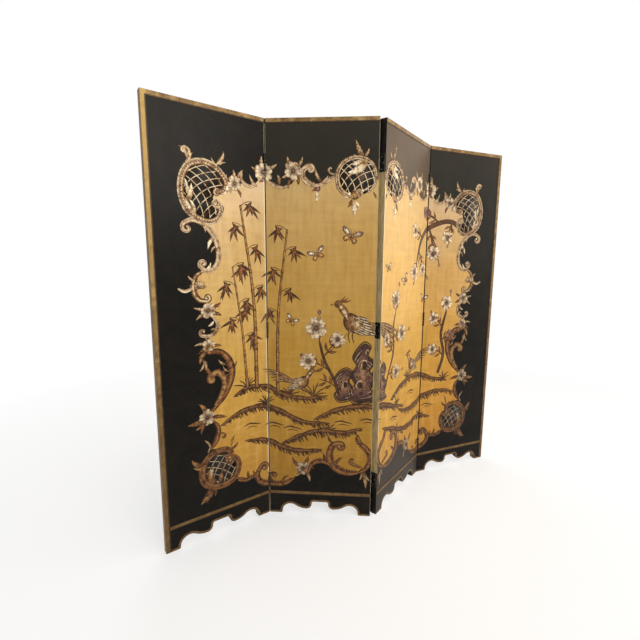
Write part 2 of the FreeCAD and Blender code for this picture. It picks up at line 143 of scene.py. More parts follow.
def panel_matrix(panel):
    """From a panel's own frame (x across, y to the back, z up, front middle at the floor) to the row frame."""
    low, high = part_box("front_board_%d" % panel)
    angle = math.radians(PANEL_ANGLES[panel])
    outward = Vector((math.sin(angle), -math.cos(angle), 0))
    middle = (low + high) / 2
    foot = Vector((middle.x, middle.y, 0)) + outward * BOARD_THICKNESS / 2 * MM
    return Matrix.Translation(foot) @ Matrix.Rotation(angle, 4, "Z")


PLACES = {panel: panel_matrix(panel) for panel in PANELS}


# Colours, as read off and turned to linear light
def linear(red, green, blue):
    values = [value / 255 for value in (red, green, blue)]
    return tuple(v / 12.92 if v <= 0.04045 else ((v + 0.055) / 1.055) ** 2.4 for v in values)


BLACK = linear(12, 10, 8)
UMBER = linear(56, 34, 16)
BROWN = linear(94, 59, 27)
BRONZE = linear(146, 100, 50)
TAN = linear(188, 152, 100)
ROSE = linear(170, 132, 104)
MAUVE = linear(122, 90, 84)
PLUM = linear(78, 48, 50)
SHELL = linear(218, 194, 156)
CREAM = linear(238, 222, 184)
PALE = linear(246, 236, 208)
OCHRE = linear(196, 146, 76)
SIENNA = linear(166, 104, 54)

SCROLL = (UMBER, TAN, SHELL, CREAM, ROSE, BRONZE, SHELL, UMBER)
SCROLL_LOW = (UMBER, BROWN, SIENNA, OCHRE, SIENNA, BROWN, BROWN, UMBER)
RIM = (UMBER, CREAM, TAN, BROWN, ROSE, CREAM, TAN, BRONZE, UMBER)
RIM_LOW = (UMBER, BRONZE, SIENNA, BROWN, SIENNA, TAN, SIENNA, BROWN, UMBER)
LEAF = (UMBER, TAN, CREAM, TAN, BRONZE, UMBER)
LEAF_PALE = (BRONZE, CREAM, PALE, CREAM, TAN)
LEAF_DARK = (UMBER, BROWN, SIENNA, BROWN, UMBER)
LEAF_OCHRE = (UMBER, BRONZE, OCHRE, TAN, SIENNA, UMBER)
PETAL = (MAUVE, SHELL, CREAM, SHELL, MAUVE)
PETAL_DARK = (PLUM, MAUVE, ROSE, MAUVE, PLUM)
PETAL_TAN = (BROWN, SHELL, CREAM, SHELL, BRONZE)
DARK = (UMBER,) * 3
INK = (UMBER, BROWN, UMBER)


# Curves on the unfolded front: across from panel 1's left edge, up from the floor
def spaced(points, step):
    """The same line with evenly spaced points."""
    run = np.concatenate([[0], np.cumsum(np.linalg.norm(np.diff(points, axis=0), axis=1))])
    at = np.linspace(0, run[-1], max(int(run[-1] / step), 4) + 1)
    return np.column_stack([np.interp(at, run, points[:, 0]), np.interp(at, run, points[:, 1])])


def curve(points, step=4.0):
    """A smooth line through the given points."""
    p = np.asarray(points, float)
    p = np.vstack([2 * p[0] - p[1], p, 2 * p[-1] - p[-2]])
    t = np.linspace(0, 1, 16, endpoint=False)[:, None]
    runs = [0.5 * (2 * b + (c - a) * t + (2 * a - 5 * b + 4 * c - d) * t ** 2 + (3 * b - a - 3 * c + d) * t ** 3)
            for a, b, c, d in zip(p[:-3], p[1:-2], p[2:-1], p[3:])]
    return spaced(np.vstack(runs + [p[-2:-1]]), step)


def loop(points, step=4.0):
    """A smooth closed line through the given points, its last point next to its first."""
    points = [tuple(point) for point in points]
    ring = points[-2:] + points + points[:2]
    line = curve(ring, 1.0)
    begin = np.argmin(np.linalg.norm(line[:len(line) // 3] - np.array(points[0]), axis=1))
    tail = len(line) * 2 // 3
    end = tail + np.argmin(np.linalg.norm(line[tail:] - np.array(points[0]), axis=1))
    return spaced(line[begin:end + 1], step)[:-1]


def quarter(ways):
    """Vectors turned a quarter to the left."""
    return np.stack([-ways[..., 1], ways[..., 0]], axis=-1)


def heading(angle):
    """A unit vector at an angle in radians."""
    return np.array([math.cos(angle), math.sin(angle)])


def circle(centre, radius, count):
    turn = np.linspace(0, 2 * math.pi, count, endpoint=False)
    return np.array(centre) + radius * np.column_stack([np.cos(turn), np.sin(turn)])


def curled(path, radius, turns, side):
    """The path with a spiral at its end that winds to the left (1) or to the right (-1)."""
    ahead = (path[-1] - path[-2]) / np.linalg.norm(path[-1] - path[-2])
    spoke = -side * quarter(ahead)
    angle = np.linspace(0, turns * 2 * math.pi, int(turns * 26) + 4)[1:, None]
    reach = radius * (1 - 0.74 * angle / angle[-1])
    wound = np.cos(side * angle) * spoke + np.sin(side * angle) * quarter(spoke)
    return np.vstack([path, path[-1] - radius * spoke + reach * wound])


def with_spirals(path, start, end):
    """The path with the spirals given for its two ends."""
    if end:
        path = curled(path, *end)
    return curled(path[::-1], *start)[::-1] if start else path


def inside(points, outline):
    """Which points lie inside a closed outline."""
    x, y = points[:, 0], points[:, 1]
    hit = np.zeros(len(points), bool)
    for (ax, ay), (bx, by) in zip(outline, np.roll(outline, -1, axis=0)):
        if ay == by:
            continue
        crosses = (ay > y) != (by > y)
        hit ^= crosses & (x < (bx - ax) * (y - ay) / (by - ay) + ax)
    return hit


class Relief:
    """A painted drawing in low relief on the unfolded front: points with heights, faces, and a colour a point."""

    def __init__(self):
        self.points = []
        self.paint = []
        self.faces = []
        self.count = 0

    def put(self, points, heights, faces, paint):
        self.points.append(np.column_stack([points, heights]))
        self.paint.append(np.asarray(paint, float))
        self.faces += [tuple(index + self.count for index in face) for face in faces]
        self.count += len(points)

    def band(self, path, half, tones, height, lift, ridges=7, crown=0.5, root=None):
        """A raised band of varying half width, its tones running from the right side to the left.

        A root colour shades the band's first half.
        """
        path = np.asarray(path, float)
        across = np.sin(np.linspace(-1, 1, ridges) * math.pi / 2)
        points = path[:, None] + (half[:, None] * across)[:, :, None] * left_of(path)[:, None]
        heights = lift + height * np.minimum(1, half / FULL_HALF)[:, None] * (1 - across ** 2) ** crown
        heights[:, (0, -1)] = SUNK
        tones = np.array(tones)
        stops = np.linspace(-1, 1, len(tones))
        row = np.column_stack([np.interp(across, stops, tones[:, c]) for c in range(3)])
        paint = np.tile(row, (len(path), 1))
        if root is not None:
            share = np.repeat(np.interp(np.linspace(0, 1, len(path)), (0, 0.12, 0.6), (1, 1, 0)), ridges)[:, None]
            paint = paint * (1 - share) + np.array(root) * share
        corners = [i * ridges + j for i in range(len(path) - 1) for j in range(ridges - 1)]
        faces = [(a, a + ridges, a + ridges + 1, a + 1) for a in corners]
        self.put(points.reshape(-1, 2), heights.ravel(), faces, paint)

    def stroke(self, points, width, tones, height, lift, ends, swell=0.6, smooth=True):
        """A line that swells between its two ends."""
        path = curve(points) if smooth else np.asarray(points, float)
        s = np.linspace(0, 1, len(path))
        thin = np.interp(s, (0, 1), ends)
        half = width / 2 * (thin + (1 - thin) * np.sin(math.pi * s) ** swell)
        self.band(path, half, tones, height, lift, ridges=7 if width > 9 else 5)
        return path

    def dome(self, outline, tones, height, lift):
        """A closed outline raised to a crown, its tones running from the rim inwards."""
        outline = np.asarray(outline, float)
        middle = outline.mean(axis=0)
        shares = (1.0, 0.9, 0.68, 0.36)
        n, top = len(outline), len(shares) * len(outline)
        tones = np.array(tones)
        stops = np.linspace(0, 1, len(tones))
        paint = np.array([[np.interp(1 - share, stops, tones[:, c]) for c in range(3)] for share in (*shares, 0)])
        heights = [SUNK] + [lift + height * math.sqrt(1 - share ** 2) for share in shares[1:]]
        faces = [(ring + i, ring + (i + 1) % n, ring + n + (i + 1) % n, ring + n + i)
                 for ring in range(0, top - n, n) for i in range(n)]
        faces += [(top - n + i, top - n + (i + 1) % n, top) for i in range(n)]
        if signed_area(outline) < 0:
            faces = [face[::-1] for face in faces]
        self.put(np.vstack([middle + (outline - middle) * share for share in shares] + [middle]),
                 np.append(np.repeat(heights, n), lift + height), faces,
                 np.vstack([np.repeat(paint[:-1], n, axis=0), paint[-1:]]))

    def ball(self, centre, radius, tones, height=1.0, lift=0.3):
        self.dome(circle(centre, radius, 14), tones, height, lift)

    def knobs(self, path, width, tone, start, end):
        """A ball in the eye of each of a path's spirals."""
        for spot, given in ((path[0], start), (path[-1], end)):
            if given:
                self.ball(spot, width * 0.3, (UMBER, tone, CREAM), 1.1, 0.35)

    def along(self, path, half, offset, width, tones, height):
        """A thin line on a band, offset to one side by a share of the band's half width."""
        line = path + left_of(path) * (half * offset)[:, None]
        self.band(line, np.maximum(half * width, 0.7), tones, 0.25, height, ridges=3)

    def scroll(self, points, width, tones=SCROLL, start=None, end=None, ruffle=0):
        """A C or S scroll; start and end are spirals given as radius, turns and side.

        A ruffle of short leaves stands on its left (1) or right (-1) side.
        """
        line = curve(points)
        path = with_spirals(line, start, end)
        half = width / 2 * (0.36 + 0.64 * np.sin(math.pi * np.linspace(0, 1, len(path))) ** 0.6)
        pale = tones is SCROLL
        height, lift = 1.1, 0.25
        if ruffle:
            first = len(path) - len(line) if start else 0
            self.ruffle(path[first:first + len(line)], ruffle, width * 1.05, LEAF if pale else LEAF_DARK)
        self.band(path, half, tones, height, lift, ridges=9)
        self.along(path, half, 0.5, 0.13, DARK, lift + height * 0.72)
        self.along(path, half, -0.1, 0.09, (tones[0],) * 3, lift + height * 0.86)
        self.along(path, half, -0.55, 0.12, (CREAM if pale else TAN,) * 3, lift + height * 0.66)
        self.knobs(path, width, tones[3], start, end)

    def ruffle(self, path, side, size, tones, first=0.08, last=0.92):
        """Short overlapping leaves along one side of a line, leaning ahead."""
        line = path[int(first * (len(path) - 1)):int(last * (len(path) - 1)) + 1]
        spots = spaced(line, size * 0.5)
        for k, (spot, left) in enumerate(zip(spots, left_of(spots))):
            reach = size * (0.5 + 0.5 * math.sin(math.pi * (k + 0.5) / len(spots)))
            way = side * left - 0.75 * quarter(left)
            self.leaf(spot, spot + way / np.linalg.norm(way) * reach, size * 0.46, tones, -0.22 * side, root=UMBER)

    def rim(self, points, width, tones, start, end=None, pitch=13.0):
        """A cartouche's frame: a band with a row of beads along its channel."""
        path = with_spirals(curve(points), start, end)
        half = width / 2 * (0.42 + 0.58 * np.sin(math.pi * np.linspace(0, 1, len(path))) ** 0.5)
        self.band(path, half, tones, 1.1, 0.25, ridges=11)
        self.along(path, half, 0.62, 0.12, DARK, 0.95)
        self.along(path, half, -0.32, 0.1, DARK, 1.2)
        channel = path[len(path) // 12:-len(path) // 12]
        channel = channel + left_of(channel) * width * 0.07
        bead = (UMBER, UMBER, BROWN) if tones is RIM else (UMBER, BROWN, BRONZE)
        for spot in spaced(channel, pitch)[1:-1]:
            self.dome(circle(spot, width * 0.11, 8), bead, 0.4, 1.2)
        self.knobs(path, width, TAN, start, end)

    def leaf(self, base, tip, width, tones, bend=0.0, lobes=0, blunt=0.0, height=0.8, lift=0.35, root=None):
        """A leaf or petal from base to tip, bent to one side, with its veins; lobes cut its edges."""
        base, tip = np.array(base, float), np.array(tip, float)
        knee = (base + tip) / 2 + bend * quarter(tip - base)
        count = max(int(np.linalg.norm(tip - base) / 3.0), 9) + 8 * lobes
        s = np.linspace(0, 1, count)
        path = ((1 - s) ** 2)[:, None] * base + (2 * s * (1 - s))[:, None] * knee + (s ** 2)[:, None] * tip
        shape = np.sin(math.pi * s ** (0.8 + 0.5 * blunt)) ** (0.85 - 0.45 * blunt)
        if lobes:
            tooth = (lobes * 1.4 * s ** 0.85) % 1.0
            shape *= 0.62 + 0.38 * np.minimum(tooth ** 0.7, (1 - tooth) * 4)
        half = width / 2 * np.maximum(shape, 0.04)
        self.band(path, half, tones, height, lift, crown=0.7, root=root)
        vein, ink = path[1:-2], (tones[0],) * 3
        self.band(vein, np.linspace(0.9, 0.3, len(vein)) * max(width / 24, 0.6), ink, 0.12, lift + height * 0.96, 3)
        if width > 17 and not blunt:
            for k in range(3):
                at = int((0.25 + 0.2 * k) * (count - 1))
                ahead = path[at + 1] - path[at]
                ahead /= np.linalg.norm(ahead) + 1e-9
                for side in (-1, 1):
                    out = ahead * 0.8 + side * quarter(ahead)
                    rib = spaced(np.array([path[at], path[at] + out * half[at] * 0.62]), 2.0)
                    self.band(rib, np.full(len(rib), 0.55), ink, 0.1, lift + height * 0.8, 3)

    def blossom(self, centre, radius, tones=PETAL, *, turn):
        """An open flower with five rounded, notched petals, a heart and its stamens."""
        centre = np.array(centre, float)
        for i in range(5):
            angle = turn + i * 2 * math.pi / 5 + random.uniform(-0.12, 0.12)
            reach = radius * random.uniform(0.9, 1.08)
            for side in (-1, 1):
                out = heading(angle + 0.17 * side)
                self.leaf(centre + out * radius * 0.06, centre + out * reach, radius * 0.66, tones,
                          0.1 * side, blunt=0.9, lift=0.35 + 0.06 * (i % 3), root=PLUM)
        self.ball(centre, radius * 0.2, (UMBER, BROWN, OCHRE), 0.6, 1.15)
        for i in range(8):
            out = heading(turn + i * 2 * math.pi / 8) * radius
            self.stroke([centre + out * share for share in (0.2, 0.32, 0.42)], 2.0, INK, 0.2, 1.15, (1, 0.6))
            self.ball(centre + out * 0.44, radius * 0.055, (BROWN, OCHRE, PALE), 0.35, 1.2)

    def patch(self, outline, tone, height):
        """A flat painted area with a low rim."""
        if signed_area(outline) < 0:
            outline = outline[::-1]
        faces = []
        for a, b, c in tessellate_polygon([[Vector((x, y, 0)) for x, y in outline]]):
            faces.append((a, b, c) if signed_area(outline[[a, b, c]]) > 0 else (a, c, b))
        n = len(outline)
        faces += [(n + i, n + (i + 1) % n, (i + 1) % n, i) for i in range(n)]
        self.put(np.vstack([outline, outline]), np.repeat([height, SUNK], n), faces, np.tile(tone, (2 * n, 1)))

    def trellis(self, outline, centre, pitch, angle, bow, width):
        """Two crossing families of bowed lines, kept inside an outline."""
        run = np.arange(-160, 161, 4.0)[:, None]
        for family, slant in enumerate((angle, angle + 86)):
            way = heading(math.radians(slant))
            sway = bow * (1 if family else -1) * (run / 100) ** 2 * 10
            for k in range(-5, 6):
                line = np.array(centre) + run * way + (k * pitch + sway) * quarter(way)
                kept = inside(line, outline)
                edges = np.flatnonzero(np.diff(np.concatenate([[0], kept.astype(int), [0]])))
                for first, last in edges.reshape(-1, 2):
                    if last - first > 3:
                        self.stroke(line[first:last], width, (TAN, CREAM, TAN), 0.4, 0.4 + 0.15 * family,
                                    (0.8, 0.8), 1.0, False)

    def mirrored(self):
        """The same drawing with left and right changed round."""
        other = Relief()
        other.points = [points * (-1, 1, 1) + (STRIP, 0, 0) for points in self.points]
        other.paint = list(self.paint)
        other.faces = [face[::-1] for face in self.faces]
        other.count = self.count
        return other


def left_of(path):
    """Unit vectors to the left of a line, one for each point."""
    ahead = np.gradient(np.asarray(path, float), axis=0)
    return quarter(ahead / (np.linalg.norm(ahead, axis=1)[:, None] + 1e-9))


def signed_area(outline):
    x, y = outline[:, 0], outline[:, 1]
    return 0.5 * float(np.sum(x * np.roll(y, -1) - np.roll(x, -1) * y))


# Border ornament of the left half: cartouches, scrolls, leaves and blossoms
def leaves(art, *rows):
    """Leaves, each its base, tip, width, tones, bend and lobes and, where it has them, its root colour and lift."""
    for base_u, base_z, tip_u, tip_z, width, tones, bend, lobes, *rest in rows:
        root, lift = rest + [None, 0.35][len(rest):]
        art.leaf((base_u, base_z), (tip_u, tip_z), width, tones, bend, lobes, lift=lift, root=root)


def top_left_cartouche(art):
    window = loop([(196, 1848), (250, 1867), (298, 1856), (334, 1826), (350, 1796), (338, 1772), (308, 1766),
                   (292, 1738), (290, 1708), (312, 1690), (316, 1660), (300, 1640), (264, 1628), (218, 1646),
                   (186, 1674), (164, 1722), (162, 1770), (176, 1814)])
    art.patch(window, BLACK, 0.36)
    art.trellis(window, (245, 1745), 35, 38, 2.6, 5.2)
    frame_line = [(322, 1762), (344, 1756), (360, 1774), (366, 1804), (345, 1838), (304, 1870), (250, 1882),
                  (194, 1864), (162, 1822), (149, 1770), (151, 1720), (172, 1664), (212, 1632), (266, 1613),
                  (312, 1626), (332, 1658), (332, 1690), (318, 1706)]
    art.ruffle(loop(frame_line[3:-3], 4), -1, 22, LEAF, 0.0, 0.5)
    art.rim(frame_line, 31, RIM, start=(13, 0.85, 1), end=(13, 0.85, 1))
    leaves(art, (212, 1622, 170, 1712, 44, LEAF_PALE, 0.14, 4, TAN),
           (206, 1636, 190, 1708, 24, LEAF_PALE, -0.22, 3, TAN, 0.7),
           (176, 1700, 198, 1780, 32, LEAF_PALE, -0.18, 4, TAN),
           (176, 1730, 168, 1800, 20, LEAF_PALE, -0.18, 3, TAN),
           (366, 1790, 316, 1744, 34, LEAF_DARK, 0.25, 3, None, 0.5),
           (368, 1790, 352, 1746, 24, LEAF_PALE, 0.3, 3, None, 0.7), (372, 1784, 386, 1748, 16, LEAF, 0.3, 2),
           (340, 1690, 292, 1690, 26, LEAF, 0.3, 3, None, 0.5))
    art.scroll([(176, 1864), (194, 1890), (192, 1918)], 20, end=(20, 0.6, 1))
    leaves(art, (184, 1886, 150, 1934, 20, LEAF, -0.3, 3), (196, 1884, 212, 1914, 14, LEAF, 0.3, 2),
           (316, 1876, 357, 1942, 26, LEAF, -0.25, 4), (322, 1874, 296, 1908, 14, LEAF, 0.3, 2),
           (334, 1876, 366, 1892, 14, LEAF, 0.3, 2))


def left_side(art):
    art.scroll([(160, 1604), (196, 1618), (238, 1606), (278, 1574), (304, 1528), (316, 1478), (312, 1430),
                (288, 1394), (254, 1384), (228, 1400)], 28, start=(25, 0.85, 1), end=(20, 0.85, -1))
    leaves(art, (226, 1614, 256, 1562, 22, LEAF, 0.35, 3, None, 0.6),
           (298, 1546, 264, 1484, 24, LEAF_PALE, -0.2, 4, None, 0.6),
           (302, 1500, 280, 1470, 16, LEAF, -0.2, 2, None, 0.6), (250, 1388, 276, 1424, 18, LEAF_PALE, -0.3, 2))
    art.scroll([(240, 1384), (206, 1364), (188, 1322), (190, 1280), (214, 1246), (248, 1238)], 26,
               (UMBER, BROWN, OCHRE, CREAM, BRONZE, BROWN, UMBER), end=(17, 0.85, 1), ruffle=1)
    for k in range(8):
        base = np.array((218.0, 1300.0))
        tip = base + heading(math.radians(160 - 21 * k)) * (50 - 2 * k)
        art.leaf(base, tip, 17, (BRONZE, OCHRE, CREAM, OCHRE, BROWN), 0.1, 0, 0.3, 0.5, 0.4, root=BROWN)
    art.stroke([(200, 1318), (172, 1298), (146, 1290), (116, 1304)], 17, (UMBER, TAN, CREAM, CREAM), 0.9, 0.3,
               (1.0, 0.1), 0.3)
    leaves(art, (196, 1334, 164, 1362, 18, LEAF, 0.2, 3), (252, 1200, 184, 1210, 22, LEAF, 0.15, 3, BROWN),
           (250, 1180, 194, 1148, 22, LEAF, -0.2, 3, BROWN), (270, 1205, 320, 1230, 24, LEAF_DARK, -0.15, 3),
           (272, 1180, 322, 1162, 26, LEAF_DARK, 0.15, 3), (256, 1212, 250, 1248, 18, LEAF, 0.2, 2))
    art.blossom((254, 1192), 40, turn=0.6)
    art.scroll([(274, 1160), (296, 1130), (292, 1094), (262, 1068), (224, 1070)], 20, end=(18, 0.7, -1), ruffle=1)
    leaves(art, (280, 1140, 250, 1116, 18, LEAF_PALE, 0.3, 3), (288, 1098, 262, 1092, 14, LEAF, -0.3, 2),
           (246, 1024, 178, 1024, 22, LEAF, -0.2, 3, BROWN), (262, 1012, 318, 1010, 22, LEAF_DARK, 0.2, 3),
           (250, 1034, 238, 1070, 18, LEAF, 0.2, 2), (240, 1006, 196, 980, 18, LEAF_DARK, -0.2, 2))
    art.blossom((250, 1018), 36, turn=0.1)
    leaves(art, (246, 996, 204, 930, 30, LEAF_OCHRE, -0.3, 4, BROWN),
           (212, 958, 234, 892, 24, LEAF, 0.3, 4, BROWN), (222, 934, 200, 896, 18, LEAF, 0.3, 3))
    art.scroll([(256, 986), (300, 984), (340, 954), (366, 904), (368, 850), (350, 796), (314, 736), (268, 692)], 35,
               SCROLL_LOW, start=(22, 0.7, -1), ruffle=-1)
    art.scroll([(254, 862), (288, 876), (318, 852), (326, 806), (306, 754), (272, 708)], 34, LEAF_OCHRE,
               start=(17, 0.8, 1), ruffle=1)
    leaves(art, (264, 872, 232, 930, 26, LEAF_OCHRE, 0.3, 4, BROWN),
           (340, 912, 296, 944, 20, LEAF, 0.3, 3, BROWN), (352, 872, 320, 906, 16, LEAF, 0.3, 2, BROWN))
    art.stroke([(366, 884), (386, 900), (394, 922)], 9, INK, 0.6, 0.3, (1, 0.1))
    art.stroke([(352, 930), (374, 942)], 8, INK, 0.6, 0.3, (1, 0.1))
    leaves(art, (232, 650, 130, 632, 36, LEAF_OCHRE, 0.12, 5, BROWN),
           (226, 672, 190, 730, 32, LEAF_OCHRE, -0.2, 4, BROWN), (244, 668, 296, 702, 28, LEAF_DARK, 0.2, 3),
           (230, 640, 196, 570, 30, LEAF_DARK, -0.2, 4), (244, 648, 334, 632, 28, LEAF_DARK, 0.12, 4),
           (222, 640, 168, 600, 26, LEAF_OCHRE, 0.2, 3, BROWN))
    art.blossom((232, 654), 42, PETAL_TAN, turn=0.5)
    art.scroll([(262, 626), (284, 592), (286, 554), (272, 514), (242, 478)], 25, SCROLL_LOW, ruffle=-1)
    art.scroll([(278, 552), (298, 554), (316, 544)], 13, SCROLL_LOW, end=(13, 0.7, -1))
    art.stroke([(212, 536), (234, 512), (238, 490), (228, 466)], 13, LEAF, 0.8, 0.3, (0.1, 0.8))


def low_left_cartouche(art):
    window = loop([(222, 404), (252, 434), (296, 440), (326, 428), (334, 404), (360, 396), (380, 364), (374, 322),
                   (346, 288), (300, 276), (254, 288), (220, 326), (210, 372)])
    art.patch(window, BLACK, 0.36)
    art.trellis(window, (300, 352), 33, 60, 2.2, 4.6)
    frame_line = [(330, 414), (350, 430), (336, 450), (290, 460), (244, 448), (210, 416), (194, 374), (197, 324),
                  (221, 288), (262, 268), (316, 264), (362, 284), (387, 324), (389, 368), (368, 400), (342, 402)]
    art.ruffle(loop(frame_line[2:11], 4), -1, 18, LEAF_DARK, 0.0, 0.6)
    art.rim(frame_line, 38, RIM_LOW, start=(16, 0.85, 1), end=(13, 0.9, 1))
    leaves(art, (268, 276, 226, 372, 52, LEAF_OCHRE, 0.24, 5, BROWN, 0.5),
           (276, 280, 292, 342, 34, LEAF_OCHRE, -0.24, 4, BROWN, 0.5),
           (240, 326, 258, 384, 24, LEAF_PALE, 0.24, 3, TAN, 0.7),
           (196, 402, 144, 450, 32, LEAF_OCHRE, 0.25, 4, BROWN), (204, 388, 150, 406, 22, LEAF_OCHRE, 0.2, 3),
           (340, 450, 392, 482, 20, LEAF_DARK, -0.3, 3), (352, 462, 376, 526, 17, LEAF_OCHRE, 0.2, 2),
           (246, 276, 176, 196, 52, LEAF_OCHRE, 0.2, 5, BROWN), (226, 262, 216, 190, 28, LEAF_DARK, -0.2, 4),
           (256, 266, 252, 214, 22, LEAF_DARK, 0.2, 3))


def bottom_edge(art):
    leaves(art, (374, 280, 446, 254, 24, LEAF_DARK, -0.15, 4), (452, 254, 444, 298, 22, LEAF_DARK, 0.25, 3))
    art.scroll([(384, 262), (430, 246), (470, 252), (502, 240)], 23, SCROLL_LOW, ruffle=1)
    art.scroll([(526, 300), (502, 266), (504, 226), (534, 194), (578, 178), (624, 174), (668, 186), (708, 214)], 34,
               SCROLL_LOW, start=(22, 0.9, -1), ruffle=1)
    art.leaf((500, 244), (474, 290), 21, LEAF_DARK, 0.2, 3)
    art.scroll([(596, 186), (574, 206), (580, 232)], 21, SCROLL_LOW, end=(16, 0.8, -1))
    leaves(art, (640, 192, 682, 232, 18, LEAF_DARK, 0.2, 3), (748, 286, 700, 342, 27, LEAF_DARK, 0.2, 3),
           (766, 300, 790, 352, 27, LEAF_DARK, -0.2, 3), (776, 262, 800, 196, 26, LEAF, 0.2, 4, BROWN),
           (748, 262, 716, 226, 24, LEAF, 0.2, 3, BROWN), (782, 282, 826, 276, 20, LEAF_DARK, 0.2, 3))
    art.blossom((762, 276), 42, PETAL_TAN, turn=0.9)
    art.scroll([(790, 262), (806, 298), (838, 320), (876, 322), (914, 304), (948, 276)], 27, SCROLL_LOW,
               start=(13, 0.7, -1), ruffle=1)
    art.leaf((880, 320), (870, 378), 19, LEAF_DARK, -0.2, 3)
    art.scroll([(960, 432), (930, 420), (912, 384), (912, 336), (934, 294), (974, 266), (1024, 256), (1072, 264)],
               41, SCROLL_LOW, start=(21, 0.85, -1), ruffle=1)
    leaves(art, (930, 432, 902, 480, 19, LEAF_DARK, 0.3, 3), (944, 308, 984, 352, 24, LEAF_DARK, 0.2, 3))
    art.scroll([(1072, 264), (1112, 288), (1136, 332), (1134, 376), (1110, 410), (1080, 438), (1062, 486)], 32,
               SCROLL_LOW, ruffle=1)
    art.leaf((1086, 424), (1050, 474), 20, LEAF_DARK, 0.2, 4)
    art.scroll([(1092, 292), (1058, 304), (1032, 316)], 22, SCROLL_LOW, end=(17, 0.55, -1))
    leaves(art, (1096, 286, 1134, 326, 24, LEAF_DARK, -0.2, 3), (1098, 276, 1114, 168, 34, LEAF, 0.1, 5, BROWN),
           (1090, 272, 1078, 216, 20, LEAF, 0.2, 3, BROWN), (1108, 262, 1140, 214, 20, LEAF, -0.2, 3, BROWN))


def top_edge(art):
    leaves(art, (402, 1818, 402, 1866, 24, LEAF, -0.2, 2, BROWN),
           (424, 1814, 456, 1872, 19, LEAF, 0.25, 3, BROWN), (392, 1800, 372, 1826, 18, LEAF_DARK, 0.2, 2))
    art.blossom((408, 1802), 38, turn=0.9)
    art.leaf((420, 1776), (438, 1738), 20, LEAF_DARK, 0.3, 2)
    art.scroll([(448, 1860), (444, 1826), (466, 1802), (498, 1798), (530, 1812)], 17, ruffle=1)
    leaves(art, (530, 1800, 488, 1856, 20, LEAF, 0.25, 4), (520, 1806, 494, 1822, 13, LEAF_PALE, 0.2, 2),
           (556, 1900, 556, 1952, 25, LEAF, 0.1, 2, BROWN), (540, 1880, 500, 1894, 24, LEAF, 0.2, 3, BROWN),
           (586, 1896, 630, 1916, 27, LEAF, -0.2, 3, BROWN), (566, 1852, 540, 1824, 20, LEAF_DARK, 0.2, 2))
    art.blossom((563, 1876), 47, turn=0.25)
    art.scroll([(546, 1844), (590, 1828), (624, 1808), (660, 1800), (700, 1814)], 15, ruffle=1)
    leaves(art, (640, 1812, 632, 1864, 25, LEAF, -0.2, 3, BROWN), (696, 1902, 684, 1954, 24, LEAF, 0.1, 3, BROWN),
           (736, 1898, 762, 1950, 25, LEAF, -0.1, 3, BROWN), (690, 1868, 656, 1850, 27, LEAF, 0.2, 3, BROWN),
           (732, 1862, 740, 1812, 25, LEAF_DARK, 0.1, 3), (705, 1850, 688, 1792, 20, LEAF_DARK, -0.2, 3))
    art.blossom((714, 1882), 48, turn=1.0)
    art.scroll([(788, 1904), (764, 1884), (764, 1850), (788, 1820), (830, 1806)], 28, start=(19, 0.8, -1), ruffle=1)
    art.scroll([(820, 1806), (862, 1816), (900, 1838), (932, 1854)], 19, ruffle=1)
    leaves(art, (860, 1824, 826, 1896, 23, LEAF, 0.25, 4, BROWN), (862, 1830, 890, 1858, 16, LEAF, -0.2, 2))
    art.scroll([(932, 1864), (908, 1866), (894, 1878)], 12, end=(14, 0.45, -1))
    art.leaf((840, 1806), (806, 1784), 20, LEAF_DARK, 0.2, 2)
    art.ball((838, 1794), 15, (PLUM, MAUVE, ROSE))
    art.leaf((830, 1784), (826, 1726), 21, LEAF_PALE, 0.25, 3)


def top_middle_cartouche(art):
    window = loop([(946, 1850), (958, 1902), (1002, 1934), (1058, 1938), (1106, 1910), (1128, 1860), (1120, 1806),
                   (1078, 1770), (1022, 1764), (966, 1792)])
    art.patch(window, BLACK, 0.36)
    art.trellis(window, (1040, 1850), 35, 34, 3.0, 5.2)
    frame_line = [(1044, 1760), (998, 1757), (955, 1784), (936, 1830), (941, 1882), (971, 1923), (1020, 1943),
                  (1074, 1938), (1114, 1906), (1130, 1856), (1121, 1806), (1092, 1774)]
    art.ruffle(loop(frame_line[2:-3], 4), 1, 17, LEAF, 0.05, 0.5)
    art.rim(frame_line, 21, RIM, start=(17, 0.85, 1), pitch=11)
    leaves(art, (1082, 1930, 988, 1872, 52, LEAF_PALE, 0.28, 5, TAN),
           (1068, 1928, 1004, 1912, 28, LEAF_PALE, 0.2, 4, TAN, 0.7),
           (1012, 1892, 996, 1852, 20, LEAF_PALE, 0.2, 3))
    art.ball((1026, 1762), 24, (UMBER, BRONZE, TAN), 1.2)
    leaves(art, (1002, 1776, 968, 1744, 28, LEAF_PALE, 0.2, 3), (1010, 1742, 990, 1702, 22, LEAF_DARK, 0.2, 3),
           (1026, 1740, 1030, 1660, 38, LEAF_PALE, -0.1, 4, TAN), (1030, 1730, 1048, 1694, 18, LEAF_PALE, 0.2, 3))
    for spot in ((1066, 1784), (1082, 1790), (1097, 1780)):
        art.ball(spot, 8, (BROWN, CREAM, PALE))
    leaves(art, (1072, 1936, 1026, 2026, 32, LEAF, 0.12, 4, BROWN),
           (1060, 1944, 1014, 1956, 20, LEAF_PALE, 0.2, 3), (1066, 1944, 1092, 1986, 20, LEAF, -0.2, 3, BROWN))
    for z in (1966, 1986, 2004):
        art.ball((1050 - (z - 1966) * 0.5, z), 5, (UMBER, PLUM, MAUVE), 0.5, 0.9)
    art.leaf((1116, 1776), (1132, 1742), 14, LEAF_DARK, 0.2, 2)


